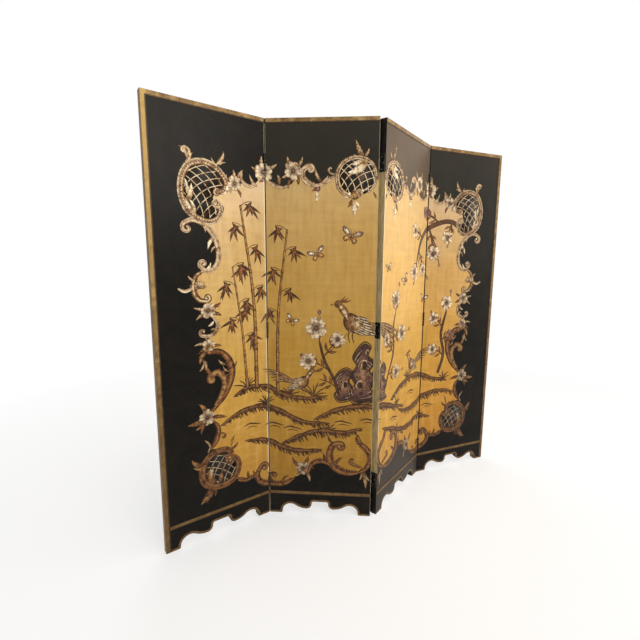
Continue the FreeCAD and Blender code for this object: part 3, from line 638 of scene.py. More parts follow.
# The left half of the gold field's edge, from the top middle round to the bottom middle
FIELD_EDGE = [
    (1143, 1840), (1100, 1830), (1040, 1832), (980, 1838), (934, 1850), (900, 1836), (862, 1814), (828, 1804),
    (796, 1812), (772, 1836), (752, 1858), (728, 1846), (704, 1818), (672, 1800), (640, 1800), (606, 1812),
    (574, 1832), (548, 1842), (522, 1818), (494, 1797), (464, 1800), (440, 1806), (410, 1796), (384, 1780),
    (364, 1754), (336, 1748), (304, 1738),
    (300, 1716), (330, 1705), (350, 1684), (340, 1650), (312, 1618), (268, 1606), (258, 1586), (286, 1556),
    (304, 1520), (314, 1478), (312, 1430), (290, 1396), (250, 1386), (214, 1370), (192, 1330), (190, 1284),
    (212, 1250), (244, 1236), (256, 1206), (262, 1176), (286, 1140), (290, 1098), (264, 1070), (254, 1030),
    (262, 990), (302, 980), (338, 950), (364, 902), (366, 850), (346, 794), (310, 736), (272, 696),
    (246, 664), (256, 632), (280, 594), (284, 556), (268, 514), (246, 482), (286, 474), (332, 462),
    (346, 430), (366, 400), (388, 366), (388, 322), (372, 284), (400, 254), (440, 248), (480, 250),
    (506, 232), (534, 196), (578, 178), (624, 174), (668, 186), (704, 212), (736, 244), (776, 258),
    (802, 288), (838, 316), (876, 318), (914, 302), (946, 278), (984, 262), (1028, 256), (1074, 264),
    (1112, 290), (1143, 318)]


# The picture on the field: ground lines, bamboo, a garden rock with peonies, birds and butterflies
def ground(art, points, width):
    """A swelling ground line, streaked, with hatched grass below it."""
    path = curve(points)
    s = np.linspace(0, 1, len(path))
    half = width * 0.6 * (0.14 + 0.86 * np.sin(math.pi * s) ** 0.5) * (1 + 0.14 * np.sin(s * 37))
    art.band(path, half, (UMBER, BROWN, BRONZE, BROWN, UMBER), 0.7, 0.15)
    for offset in (-0.45, 0.1, 0.5):
        art.along(path, half, offset, 0.1, DARK, 0.75)
    spots = spaced(path, 6)[2:-2]
    for k, spot in enumerate(spots):
        if random.random() < 0.14:
            continue
        drop = 42 * random.uniform(0.4, 1.15) * math.sin(math.pi * (k + 1) / (len(spots) + 1)) ** 0.4
        lean = random.uniform(8, 22)
        blade = [spot, spot + (lean * 0.35, -drop * 0.6), spot + (lean, -drop)]
        art.stroke(blade, 8.6, INK, 0.4, 0.15, (1, 0.1), 0.3)


def tuft(art, foot, reach):
    """Seven blades of grass that fan out from one foot."""
    for k in range(7):
        way = heading(math.radians(150 - 20 * k + random.uniform(-8, 8)))
        tip = np.array(foot) + way * reach * random.uniform(0.7, 1.1)
        droop = np.array([way[0] * 0.25, -0.12]) * reach
        middle = np.array(foot) + way * reach * 0.5 - droop * 0.3
        art.stroke([foot, middle, tip + droop * 0.3], 9, INK, 0.5, 0.2, (0.8, 0.05), 0.4)


def bamboo(art, foot, top, lean, width, joints, leafy):
    """A jointed stem, with a side twig and hanging leaves at each of its leafy joints."""
    foot, top = np.array(foot, float), np.array(top, float)
    middle = (foot + top) / 2 + (lean, 0)
    line = curve([foot, middle, top])
    cuts = np.linspace(0, len(line) - 1, joints + 1).astype(int)
    for k in range(joints):
        part = line[cuts[k]:cuts[k + 1] + 1]
        taper = 1 - 0.55 * k / joints
        if len(part) < 4:
            part = spaced(part, 2.0)
        s = np.linspace(-1, 1, len(part))
        half = width / 2 * taper * (0.82 + 0.18 * s ** 4)
        art.band(part, half, (UMBER, BRONZE, OCHRE, BROWN, UMBER), 0.9, 0.2)
        art.ball(line[cuts[k + 1]], width * 0.42 * taper, (UMBER, BROWN, BRONZE), 0.4, 0.7)
    for k in leafy:
        spot = line[cuts[k]]
        side = 1 if k % 2 else -1
        out = spot + (side * 62, 26)
        art.stroke([spot, spot + (side * 30, 20), out], 4.5, INK, 0.5, 0.3, (1, 0.3))
        for j in range(5):
            angle = math.radians(-90 + side * (64 - 26 * j) + random.uniform(-8, 8))
            start = spot + (out - spot) * (0.35 + 0.16 * j)
            art.leaf(start, start + heading(angle) * random.uniform(66, 104), 17,
                     LEAF_DARK if j % 2 else INK + INK[1:], 0.1 * side, height=0.5, lift=0.3 + 0.1 * (j % 2))


def rock(art, lobes, hollows):
    """A tall pierced garden rock: ragged lobes with contour strokes, and dark hollows with pale lips."""
    for k, lobe in enumerate(lobes):
        ring = loop(lobe, 5)
        middle = ring.mean(axis=0)
        base = 0.15 + 0.14 * k
        art.dome(ring, (UMBER, PLUM, MAUVE, BRONZE, ROSE), 0.7, base)
        art.stroke(np.vstack([ring, ring[:2]]), 8, DARK, 0.35, base + 0.1, (0.9, 0.9), 1.0, False)
        for share in (0.84, 0.68, 0.52, 0.36):
            line = middle + (ring - middle) * share
            height = base + 0.72 * math.sqrt(1 - share ** 2)
            for part in range(4):
                first = int(len(line) * (part / 4 + random.uniform(0, 0.06)))
                last = int(len(line) * (part / 4 + random.uniform(0.14, 0.24)))
                if last - first > 4:
                    art.stroke(line[first:last], 6.5, DARK, 0.25, height, (0.1, 0.1), 0.6, False)
                    pale = middle + (line[first:last] - middle) * 0.94
                    art.stroke(pale, 4.5, (TAN, SHELL, TAN), 0.25, height, (0.1, 0.1), 0.6, False)
    for u, z, wide, high in hollows:
        turn = np.linspace(0, 2 * math.pi, 11, endpoint=False)
        wobble = 1 + random.uniform(-0.2, 0.2, 11)
        ring = np.column_stack([u + wide / 2 * wobble * np.cos(turn), z + high / 2 * wobble * np.sin(turn)])
        art.dome(loop(ring, 4), (BROWN, UMBER, BLACK), 0.1, 1.3)
        lip = np.column_stack([u + wide * 0.56 * np.cos(turn[1:8]), z + high * 0.56 * np.sin(turn[1:8])])
        art.stroke(lip, 6, (TAN, CREAM, TAN), 0.3, 1.25, (0.1, 0.1))


def spray(art, points, width, twigs):
    """A leafy stem; each twig is its share of the stem, its tip and the flower's radius, 0 for a leaf."""
    path = art.stroke(points, width, INK, 0.7, 0.25, (1.0, 0.35), 0.3)
    for share, tip, radius in twigs:
        spot = path[int(share * (len(path) - 1))]
        way = (tip - spot) / (np.linalg.norm(tip - spot) + 1e-6)
        art.stroke([spot, (spot + tip) / 2 + (4, 6), tip], width * 0.45, INK, 0.5, 0.25, (1, 0.4))
        if radius:
            art.blossom(tip, radius * 0.86, PETAL if radius > 44 else PETAL_DARK, turn=random.uniform(0, 1))
            bud = tip + way * radius * 1.25 + (radius * 0.5, 0)
            art.stroke([spot, (spot + bud) / 2 + (10, 0), bud], width * 0.3, INK, 0.5, 0.25, (1, 0.4))
            art.leaf(bud - (0, radius * 0.2), bud + (0, radius * 0.26), radius * 0.32, PETAL_DARK, blunt=0.5)
        for side in (-1, 1):
            out = way * 34 + quarter(way) * side * 40
            for along in (0.3, 0.62):
                start = spot + (tip - spot) * along
                art.leaf(start, start + out, 21, LEAF_DARK, 0.15 * side, 2, height=0.5)


def songbird(art, breast, scale, facing, tail_drop):
    """A small long-tailed bird on the ground or a branch, facing left (-1) or right (1)."""
    breast = np.array(breast, float)

    def at(x, y):
        return breast + scale * np.array([x * facing, y])

    for k in range(5):
        tip = at(-118 - 9 * k, tail_drop + 12 * k)
        art.leaf(at(-24, 2 + 2 * k), tip, 12 * scale, (UMBER, BROWN, TAN, BROWN, UMBER), -0.1 * facing, lift=0.3)
    body = [at(30, 24), at(14, 36), at(-12, 24), at(-36, 8), at(-38, -4), at(-12, -18), at(16, -14), at(30, 2)]
    art.dome(loop(body, 3), (UMBER, BROWN, BRONZE, TAN, CREAM), 0.9, 0.4)
    art.leaf(at(18, 16), at(44, 58), 21 * scale, (UMBER, BRONZE, CREAM, BRONZE, UMBER), 0.1 * facing, blunt=0.6,
             lift=0.5)
    for row in range(3):
        for k in range(6):
            art.leaf(at(20 - 12 * row - 3 * k, 26 - 7 * k), at(-2 - 17 * row - 5 * k, 18 - 8 * k), 9 * scale,
                     (UMBER, BROWN, CREAM, BROWN, UMBER), 0.1 * facing, lift=0.7 + 0.1 * row, height=0.4)
    art.ball(at(43, 56), 10.5 * scale, (UMBER, BRONZE, TAN), 0.8, 0.7)
    art.leaf(at(50, 57), at(66, 53), 5 * scale, (UMBER, OCHRE, UMBER), 0, lift=0.5)
    art.ball(at(46, 58), 2.2 * scale, (BLACK, BLACK, CREAM), 0.3, 1.3)
    for k in range(3):
        art.leaf(at(41 - 2 * k, 62), at(26 - 8 * k, 78 - 5 * k), 4.5 * scale, LEAF_DARK, 0.2 * facing, lift=0.6)
    for x in (4, 14):
        art.stroke([at(x, -12), at(x + 3, -26), at(x - 1, -42)], 3.6 * scale, INK, 0.4, 0.2, (1, 0.7))


def butterfly(art, centre, scale, tilt):
    way = heading(math.radians(tilt))

    def at(x, y):
        return centre + scale * (x * way + y * quarter(way))

    for side in (-1, 1):
        wing = [at(side * x, y) for x, y in ((2, 4), (20, 26), (42, 30), (40, 12), (20, 0))]
        hind = [at(side * x, y) for x, y in ((2, -2), (22, -2), (30, -16), (18, -28), (6, -18))]
        art.dome(loop(wing, 3), (UMBER, MAUVE, CREAM, PALE), 0.5, 0.2)
        art.dome(loop(hind, 3), (UMBER, BRONZE, OCHRE, CREAM), 0.5, 0.2)
        art.ball(at(side * 30, 21), 3.4 * scale, (PLUM, UMBER, CREAM), 0.25, 0.75)
        art.stroke([at(side, 8), at(side * 8, 22), at(side * 14, 28)], 2.4, INK, 0.3, 0.3, (1, 0.3))
    art.leaf(at(0, 10), at(0, -22), 7 * scale, LEAF_DARK, 0, lift=0.5)


ROCK_LOBES = (
    ((960, 672), (932, 712), (952, 748), (930, 792), (958, 846), (1000, 866), (1030, 838), (1012, 790), (1040, 744),
     (1028, 690)),
    ((1132, 676), (1126, 724), (1150, 764), (1130, 812), (1150, 866), (1186, 886), (1214, 846), (1196, 800),
     (1228, 760), (1204, 716), (1226, 676)),
    ((1030, 672), (1008, 728), (1044, 772), (1018, 826), (1050, 876), (1030, 926), (1066, 990), (1098, 1010),
     (1126, 984), (1112, 938), (1148, 898), (1122, 850), (1158, 800), (1130, 748), (1154, 690), (1096, 664)))


def picture(art):
    for width, *points in (
            (24, (370, 730), (450, 768), (560, 756), (660, 708), (770, 690), (900, 706)),
            (25, (296, 590), (400, 640), (520, 652), (640, 612), (760, 556), (910, 548)),
            (27, (820, 566), (930, 622), (1060, 652), (1200, 640), (1330, 594), (1460, 560)),
            (25, (1280, 640), (1400, 696), (1540, 722), (1680, 708), (1800, 664), (1930, 636)),
            (24, (1380, 560), (1500, 520), (1640, 524), (1780, 562), (1900, 568), (2000, 540)),
            (25, (430, 474), (540, 452), (660, 400), (760, 384), (870, 394)),
            (24, (640, 420), (740, 470), (860, 506), (980, 498), (1090, 526)),
            (26, (1190, 502), (1290, 470), (1420, 420), (1540, 404), (1660, 420), (1800, 396))):
        ground(art, points, width)
    for u, z in ((600, 536), (700, 516), (1120, 572), (1560, 622), (1770, 478), (470, 556), (980, 556),
                 (1330, 520)):
        upper = [(u - 52, z - 4), (u - 12, z + 8), (u + 18, z + 2), (u + 58, z - 8)]
        lower = [(u - 30, z - 18), (u, z - 10), (u + 40, z - 20)]
        for points, width in ((upper, 10), (lower, 7)):
            art.stroke(points, width, INK, 0.5, 0.15, (0.1, 0.1))
    for u, z, reach in ((450, 766, 78), (820, 694, 92), (1500, 720, 74), (1900, 640, 66), (900, 500, 56),
                        (560, 650, 62), (1360, 586, 60), (1700, 412, 52), (690, 700, 60)):
        tuft(art, (u, z), reach)
    bamboo(art, (506, 760), (436, 1700), 26, 30, 9, (4, 5, 6, 7, 8, 9))
    bamboo(art, (622, 728), (680, 1590), -20, 25, 8, (4, 5, 6, 7, 8))
    bamboo(art, (452, 766), (386, 1400), 10, 20, 7, (3, 4, 5, 6, 7))
    spray(art, [(962, 690), (930, 800), (880, 900), (850, 1010)], 18,
          [(0.2, (850, 800), 0), (0.5, (790, 900), 56), (0.75, (948, 1020), 48), (1.0, (834, 1080), 68)])
    spray(art, [(1190, 700), (1250, 820), (1300, 930), (1290, 1060), (1310, 1150)], 18,
          [(0.25, (1340, 800), 52), (0.5, (1214, 1010), 46), (0.7, (1396, 1020), 62), (1.0, (1312, 1226), 64)])
    rock(art, ROCK_LOBES, [(1094, 880, 30, 54), (1072, 770, 34, 44), (992, 770, 24, 40), (1176, 800, 26, 44),
                           (1108, 950, 16, 28)])
    songbird(art, (1040, 1092), 2.1, -1, -80)
    songbird(art, (1560, 790), 1.5, -1, 10)
    songbird(art, (752, 768), 1.4, 1, 14)
    spray(art, [(1966, 1652), (1910, 1686), (1830, 1684), (1720, 1640), (1630, 1560), (1580, 1440)], 32,
          [(0.14, (1872, 1590), 50), (0.34, (1690, 1734), 44), (0.5, (1770, 1486), 60), (0.7, (1540, 1616), 48),
           (0.88, (1672, 1384), 52), (1.0, (1548, 1372), 62)])
    spray(art, [(1850, 690), (1888, 820), (1862, 960), (1896, 1110)], 24,
          [(0.3, (1796, 860), 46), (0.55, (1940, 950), 42), (0.75, (1796, 1070), 48), (1.0, (1896, 1166), 60)])
    for spot, scale, tilt in (((836, 1468), 1.1, 24), ((1010, 1560), 1.3, -18), ((1420, 1330), 1.0, 30),
                              ((700, 1120), 0.9, -30), ((1700, 1200), 1.0, -12), ((1210, 1400), 0.8, 12)):
        butterfly(art, spot, scale, tilt)


# Putting drawings on the panels
def in_scene(name, data):
    """A new object, linked to the scene."""
    thing = bpy.data.objects.new(name, data)
    bpy.context.scene.collection.objects.link(thing)
    return thing


def painted_mesh(name, arts, low_shade=1.0, last_shade=1.0):
    """One mesh of several drawings, painted, darker towards the floor as painted shade, and darker on the last
    panel.
    """
    points = np.vstack([part for art in arts for part in art.points])
    paint = np.vstack([part for art in arts for part in art.paint])
    faces = []
    shift = 0
    for art in arts:
        faces += [tuple(index + shift for index in face) for face in art.faces]
        shift += art.count
    shade = np.interp(points[:, 1], SHADED, (low_shade, 1.0))
    shade[points[:, 0] > 3 * PANEL_WIDTH] *= last_shade
    mesh = bpy.data.meshes.new(name)
    mesh.from_pydata(points.tolist(), [], faces)
    colour = mesh.color_attributes.new("paint", "FLOAT_COLOR", "POINT")
    colour.data.foreach_set("color", np.column_stack([paint * shade[:, None], np.ones(len(paint))]).ravel())
    return mesh


def on_panels(name, mesh, material_of, room):
    """Cut an unfolded mesh into the panels' shares, clear of their sides, and lay each on its panel's front."""
    source = bmesh.new()
    source.from_mesh(mesh)
    pieces = []
    for panel in PANELS:
        share = source.copy()
        middle = (panel - 0.5) * PANEL_WIDTH
        for side in (-1, 1):
            border = middle + side * (PANEL_WIDTH / 2 - room)
            bmesh.ops.bisect_plane(share, geom=share.verts[:] + share.edges[:] + share.faces[:],
                                   plane_co=(border, 0, 0), plane_no=(side, 0, 0), clear_outer=True)
        for vert in share.verts:
            across, up, height = vert.co
            vert.co = PLACES[panel] @ Vector(((across - middle) * MM, -height * MM, up * MM))
        made = bpy.data.meshes.new("%s_%d" % (name, panel))
        share.to_mesh(made)
        share.free()
        made.polygons.foreach_set("use_smooth", [True] * len(made.polygons))
        made.materials.append(material_of(panel))
        piece = in_scene(made.name, made)
        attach(piece, "panel_%d" % panel)
        pieces.append(piece)
    source.free()
    return pieces


# Materials; their distances are metres
class Nodes:
    """Short ways to add nodes to a tree."""

    def __init__(self, tree):
        self.tree = tree

    def add(self, kind, inputs, **settings):
        node = self.tree.nodes.new("ShaderNode" + kind)
        for key, value in settings.items():
            setattr(node, key, value)
        for key, value in inputs.items():
            self.feed(node.inputs[key], value)
        return node

    def feed(self, socket, value):
        if isinstance(value, bpy.types.NodeSocket):
            self.tree.links.new(value, socket)
        elif isinstance(value, tuple) and len(value) == 3 and socket.type == "RGBA":
            socket.default_value = (*value, 1)
        else:
            socket.default_value = value

    def math(self, operation, a, b=0.0):
        return self.add("Math", {0: a, 1: b}, operation=operation).outputs[0]

    def times(self, a, b):
        return self.math("MULTIPLY", a, b)

    def spread(self, value, low=0.0, high=1.0, start=0.0, end=1.0):
        """The range from low to high laid out from start to end."""
        return self.add("MapRange", {"Value": value, "From Min": low, "From Max": high, "To Min": start,
                                     "To Max": end}).outputs[0]

    def seen(self):
        """1 for the camera's rays and for those mirrored or let through."""
        rays = self.add("LightPath", {}).outputs
        return self.math("MAXIMUM", rays["Is Camera Ray"],
                         self.math("MAXIMUM", rays["Is Glossy Ray"], rays["Is Transmission Ray"]))


class Graph(Nodes):
    """A node material with a Principled shader."""

    def __init__(self, name, **sockets):
        self.material = bpy.data.materials.new(name)
        self.material.use_nodes = True
        super().__init__(self.material.node_tree)
        self.shader = self.tree.nodes["Principled BSDF"]
        for socket, value in sockets.items():
            self.shader.inputs[socket.replace("_", " ")].default_value = value

    def coords(self, scale=(1, 1, 1), panel=None):
        """Object coordinates in metres, in a panel's own frame if one is named."""
        where = self.add("TexCoord", {}).outputs["Object"]
        if panel is not None:
            place = PLACES[panel].translation[:]
            turned = self.add("VectorRotate", {"Vector": where, "Center": place, "Axis": (0, 0, 1),
                                               "Angle": -math.radians(PANEL_ANGLES[panel])})
            where = self.add("VectorMath", {0: turned.outputs[0], 1: place}, operation="SUBTRACT").outputs[0]
        return self.add("VectorMath", {0: where, 1: scale}, operation="MULTIPLY").outputs[0]

    def on_panel(self, panel):
        """A panel's own coordinates, whole and then as across, deep and up."""
        where = self.coords(panel=panel)
        return (where, *self.add("SeparateXYZ", {0: where}).outputs)

    def noise(self, where, scale, detail=4.0, rough=0.55, warp=0.0):
        return self.add("TexNoise", {"Vector": where, "Scale": scale, "Detail": detail, "Roughness": rough,
                                     "Distortion": warp}).outputs["Fac"]

    def ramp(self, value, *stops):
        node = self.add("ValToRGB", {"Fac": value})
        while len(node.color_ramp.elements) < len(stops):
            node.color_ramp.elements.new(0.5)
        for element, (position, colour) in zip(node.color_ramp.elements, stops):
            element.position = position
            element.color = (*colour, 1) if isinstance(colour, tuple) else (colour, colour, colour, 1)
        return node.outputs["Color"]

    def mix(self, share, a, b, way="MIX"):
        return self.add("Mix", {0: share, 6: a, 7: b}, data_type="RGBA", blend_type=way).outputs[2]

    def between(self, value, low, high):
        """1 where the value lies between two limits, with soft edges."""
        soft = 1.5 * MM
        return self.times(self.spread(value, low - soft, low + soft),
                          self.spread(value, high - soft, high + soft, 1.0, 0.0))

    def drift(self, up, cloud, amount):
        """The share of the panel's height, carried up and down by a cloud."""
        share = self.times(up, 1 / (PANEL_HEIGHT * MM))
        return self.math("ADD", share, self.times(self.math("SUBTRACT", cloud, 0.5), amount))

    def beside(self, across, side, width):
        """1 within a width of a panel's left (-1) or right (1) side."""
        return self.math("GREATER_THAN", self.times(across, float(side)), (PANEL_WIDTH / 2 - width) * MM)

    def veil(self, tone, pattern, low, high, cover):
        """Another colour laid over the tone, as far as a ramp of the pattern says."""
        return self.mix(self.ramp(pattern, low, high), tone, cover)

    def finish(self, colour, pattern, low, high, height, strength):
        """Colour, a roughness from low to high with a pattern, and a bump; the material is done."""
        self.feed(self.shader.inputs["Base Color"], colour)
        self.feed(self.shader.inputs["Roughness"], self.spread(pattern, start=low, end=high))
        bump = self.add("Bump", {"Height": height, "Strength": strength, "Distance": MM})
        self.feed(self.shader.inputs["Normal"], bump.outputs[0])
        return self.material


# Lacquer tones at each panel's foot and top: the paler, greyer tops and panel 3's warmer, lighter tones are painted
# sheen
LACQUER_FEET_WITH_SHEEN = {1: linear(11, 9, 6), 2: linear(11, 9, 6), 3: linear(42, 33, 21), 4: linear(9, 7, 4)}
LACQUER_TOPS_WITH_SHEEN = {1: linear(19, 16, 10), 2: linear(44, 41, 34), 3: linear(80, 61, 38), 4: linear(45, 42, 37)}


def painted_fold_shade(g, panel, across, width=FOLD_SHADE_WIDTH):
    """Painted shade in the fold: where a panel's front is blackened along the edge beside its front barrels."""
    return g.beside(across, FRONT_BARRELS[panel], width)


def gilt_span(g, up):
    """The heights between which the edges of fold 23 are gilt."""
    return g.between(up, GILT_SPAN[0] * MM, GILT_SPAN[1] * MM)


def lacquer(name, panel, top, foot, speck):
    """Aged black lacquer, browner and greyer towards the top as partly painted sheen, with rubbed specks and fine
    scratches.
    """
    g = Graph(name, Specular_IOR_Level=0.11)
    where, across, deep, up = g.on_panel(panel)
    waist = tuple(0.75 * f + 0.12 * t for f, t in zip(foot, top))
    tone = g.ramp(g.drift(up, g.noise(where, 2.6, 5, 0.6, 0.6), 0.5), (0.05, foot), (0.55, waist), (1.0, top))
    haze = tuple(0.5 * t + 0.3 * c for t, c in zip(top, speck))
    tone = g.veil(tone, g.noise(where, 6, 6, 0.7, 1.6), (0.42, 0.0), (0.7, 0.34), haze)
    craze = g.add("TexVoronoi", {"Vector": where, "Scale": 75.0}, feature="DISTANCE_TO_EDGE").outputs["Distance"]
    tone = g.veil(tone, craze, (0.0, 0.22), (0.035, 0.0), speck)
    fine = g.noise(g.coords((1, 1, 0.12), panel), 260, 3, 0.7)
    tone = g.veil(tone, fine, (0.62, 0.0), (0.8, 0.28), speck)
    tone = g.veil(tone, g.noise(where, 95, 2, 0.5), (0.7, 0.0), (0.78, 0.35), speck)
    worn = g.ramp(g.noise(g.coords((1, 1, 0.3), panel), 120, 4, 0.7), (0.34, 0.35), (0.5, 1.0))
    for side, width in RUBBED_EDGES[panel].items():
        rub = g.beside(across, side, width)
        if panel == 3:
            rub = g.times(rub, gilt_span(g, up))
        tone = g.mix(g.times(rub, worn), tone, linear(168, 152, 120))
    # Painted shade of fold 34: the lacquer blackened beside the front barrels
    if panel > 2:
        tone = g.mix(painted_fold_shade(g, panel, across), tone, linear(14, 11, 9))
    edge = g.math("GREATER_THAN", g.math("ABSOLUTE", across), (PANEL_WIDTH / 2 - ON_EDGE) * MM)
    tone = g.mix(edge, tone, edge_paint(g, panel, across, deep, up))
    waves = g.mix(0.25, g.noise(where, 9, 3, 0.5), fine)
    return g.finish(tone, g.noise(where, 14, 6, 0.65), 0.24, 0.42, waves, 0.14)


def edge_paint(g, panel, across, deep, up):
    """Panel edges: brown gold outside, black in the folds, and dull olive gilt between the hinges of fold 23."""
    grain = g.add("CombineXYZ", {0: g.times(across, 6.0), 1: g.times(deep, 6.0), 2: g.times(up, 0.5)}).outputs[0]
    streak = g.noise(grain, 40, 4, 0.6)
    olive = g.ramp(streak, (0.3, linear(120, 104, 72)), (0.5, linear(160, 142, 102)), (0.72, linear(192, 172, 128)))
    black = g.ramp(streak, (0.35, linear(9, 8, 7)), (0.62, linear(22, 19, 16)), (0.8, linear(64, 54, 40)))
    gold = g.ramp(streak, (0.3, linear(78, 56, 28)), (0.55, linear(124, 94, 52)), (0.75, linear(160, 128, 76)))
    tone = black
    for side in (-1, 1):
        here = g.beside(across, side, PANEL_WIDTH / 4)
        if OLIVE_EDGES.get(panel) == side:
            tone = g.mix(g.times(here, gilt_span(g, up)), tone, olive)
        elif side not in HINGED_EDGES[panel]:
            below_top = g.math("LESS_THAN", up, (PANEL_HEIGHT - 0.5) * MM)
            tone = g.mix(g.times(here, below_top), tone, gold)
    if panel in OLIVE_EDGES:
        rubbed = g.math("GREATER_THAN", g.times(across, float(OLIVE_EDGES[panel])), 0.0)
        if panel == 3:
            rubbed = g.times(rubbed, gilt_span(g, up))
        arris = g.times(g.ramp(streak, (0.4, 0.1), (0.6, 0.8)), rubbed)
        front = g.math("LESS_THAN", deep, ARRIS_DEPTH * MM)
        tone = g.mix(g.times(front, arris), tone, linear(196, 180, 140))
    return g.mix(g.math("LESS_THAN", up, FOOT_PAINT * MM), tone, black)


def edge_material(panel):
    g = Graph("edge_%d" % panel, Specular_IOR_Level=0.22)
    where, *axes = g.on_panel(panel)
    return g.finish(edge_paint(g, panel, *axes), g.noise(where, 60), 0.42, 0.66, g.noise(where, 220, 3), 0.2)


def gilt_material(panel, kind):
    """Gold leaf on gesso, rubbed through to a darker ground, with dark margins along the gold, partly painted
    shade.
    """
    g = Graph("gilt_%s_%d" % (kind, panel), Metallic=0.25, Specular_IOR_Level=0.28)
    where, across, _, up = g.on_panel(panel)
    middle, half = GILT_STRIPS[kind]
    place = up
    if kind == "border":
        place = g.math("SUBTRACT", PANEL_HEIGHT * MM, up)
        if panel in (1, 4):
            aside = g.times(across, 1.0 if panel == 1 else -1.0)
            place = g.math("MINIMUM", place, g.math("ADD", aside, PANEL_WIDTH / 2 * MM))
    off = g.math("ABSOLUTE", g.math("SUBTRACT", place, middle * MM))
    # Dark margins along the gold: partly a dark painted line, partly painted shade of the strip's rounded sides; on
    # the border also painted fold shade
    dark_line_and_shade = g.spread(off, (half - 0.8) * MM, (half + 1.0) * MM, 0.0, 0.86)
    if kind == "band":
        dark_line_and_shade = g.times(dark_line_and_shade, g.math("GREATER_THAN", up, SCALLOP_TOP * MM))
    else:
        dark_line_and_shade = g.math("MAXIMUM", dark_line_and_shade, painted_fold_shade(g, panel, across, FOLD_SHADE_WIDTH / 2))
    large = g.noise(where, 22, 6, 0.7, 0.9)
    tone = g.ramp(large, (0.28, linear(70, 48, 24)), (0.44, linear(112, 84, 46)), (0.56, linear(140, 110, 64)),
                  (0.72, linear(172, 142, 92)))
    tone = g.veil(tone, g.noise(g.coords((8, 8, 1.2), panel), 60, 4, 0.7), (0.56, 0.0), (0.74, 0.75),
                  linear(84, 56, 28))
    fleck = g.noise(where, 240, 2, 0.5)
    tone = g.veil(tone, fleck, (0.64, 0.0), (0.73, 0.5), linear(206, 178, 126))
    # Painted shade: the gilt darker towards the floor
    tone = g.mix(g.spread(up, 0.1, 1.3, 0.6, 0.0), tone, linear(84, 58, 26))
    # Painted highlight: panel 1's outer border brighter towards the top
    if panel == 1 and kind == "border":
        border_highlight = g.times(g.spread(up, 0.9, 1.9, 0.0, 0.4), g.beside(across, -1, FACE_BORDER))
        tone = g.mix(border_highlight, tone, linear(218, 180, 104))
    return g.finish(g.mix(dark_line_and_shade, tone, linear(34, 24, 14)), large, 0.36, 0.62, g.mix(0.4, large, fleck), 0.35)


# Painted light and shade on the gold field: a multiplier for each panel, near the floor and near the top
FIELD_LIGHT_LOW = {1: (1.06, 1.08, 1.0), 2: (0.78, 0.76, 0.49), 3: (1.17, 1.17, 0.82), 4: (1.05, 0.96, 0.68)}
FIELD_LIGHT_HIGH = {1: (0.84, 0.86, 0.9), 2: (0.7, 0.65, 0.44), 3: (0.73, 0.71, 0.51), 4: (0.7, 0.68, 0.66)}


def field_material(panel):
    """Laid squares of gold leaf, paler near the top, with soft vertical and level streaks, and painted light and
    shade.
    """
    g = Graph("gold_field_%d" % panel, Metallic=0.25, Specular_IOR_Level=0.35)
    where, across, _, up = g.on_panel(panel)
    cloud = g.noise(where, 3.0, 4, 0.55, 0.4)
    tone = g.ramp(g.drift(up, cloud, 0.34), (0.12, linear(172, 124, 42)), (0.4, linear(196, 150, 62)),
                  (0.66, linear(214, 174, 108)), (0.86, linear(226, 194, 150)))
    streak = g.noise(g.coords((5, 5, 0.5), panel), 6, 5, 0.6)
    level = g.noise(g.coords((0.5, 0.5, 5), panel), 9, 4, 0.6)
    for pattern, dark, clear, light in ((streak, (0.34, 0.22), (0.54, 0.0), (0.74, 0.26)),
                                        (level, (0.36, 0.09), (0.52, 0.0), (0.7, 0.19))):
        tone = g.veil(tone, pattern, dark, (0.5, 0.0), linear(150, 106, 40))
        tone = g.veil(tone, pattern, clear, light, linear(236, 200, 136))
    seams, cells = [], []
    for value, shift in zip((across, up), SEAM_SHIFTS):
        steps = g.math("DIVIDE", g.math("ADD", value, (shift + 4 * GOLD_SQUARE) * MM), GOLD_SQUARE * MM)
        cells.append(g.math("FLOOR", steps))
        seams.append(g.math("LESS_THAN", g.math("FRACT", steps), 0.016))
    cell = g.add("CombineXYZ", {0: cells[0], 1: cells[1]}).outputs[0]
    tint = g.add("TexWhiteNoise", {"Vector": cell}, noise_dimensions="3D").outputs["Value"]
    tone = g.mix(g.times(tint, 0.08), tone, linear(150, 106, 44))
    patchy = g.ramp(g.noise(where, 12, 3), (0.42, 0.0), (0.66, 0.22))
    tone = g.mix(g.times(g.math("MAXIMUM", *seams), patchy), tone, linear(236, 204, 146))
    mottle = g.noise(g.coords((1, 1, 0.5), panel), 26, 6, 0.6)
    tone = g.veil(tone, mottle, (0.34, 0.16), (0.5, 0.0), linear(160, 110, 50))
    tone = g.veil(tone, mottle, (0.52, 0.0), (0.7, 0.16), linear(232, 190, 116))
    grain = g.noise(where, 300, 3, 0.6)
    tone = g.veil(tone, grain, (0.56, 0.0), (0.8, 0.2), linear(128, 88, 38))
    tone = g.veil(tone, g.noise(where, 60, 2, 0.5), (0.72, 0.0), (0.8, 0.16), linear(112, 76, 34))
    # Painted light and shade, each panel's own, from low to high
    tint = g.mix(g.spread(up, 0.4, 1.8), FIELD_LIGHT_LOW[panel], FIELD_LIGHT_HIGH[panel])
    tone = g.mix(1.0, tone, tint, "MULTIPLY")
    # Painted shade of fold 34: the gold blackened beside the front barrels
    if panel > 2:
        tone = g.mix(painted_fold_shade(g, panel, across), tone, linear(16, 13, 10))
    # Pale strip along the arris: worn gilt with a painted highlight
    if panel in WORN_AND_LIT_EDGES:
        pale = g.beside(across, WORN_AND_LIT_EDGES[panel], WORN_AND_LIT_WIDTH)
        tone = g.mix(g.times(pale, 0.8), tone, linear(240, 226, 190))
    return g.finish(tone, cloud, 0.36, 0.52, g.mix(0.5, streak, grain), 0.18)


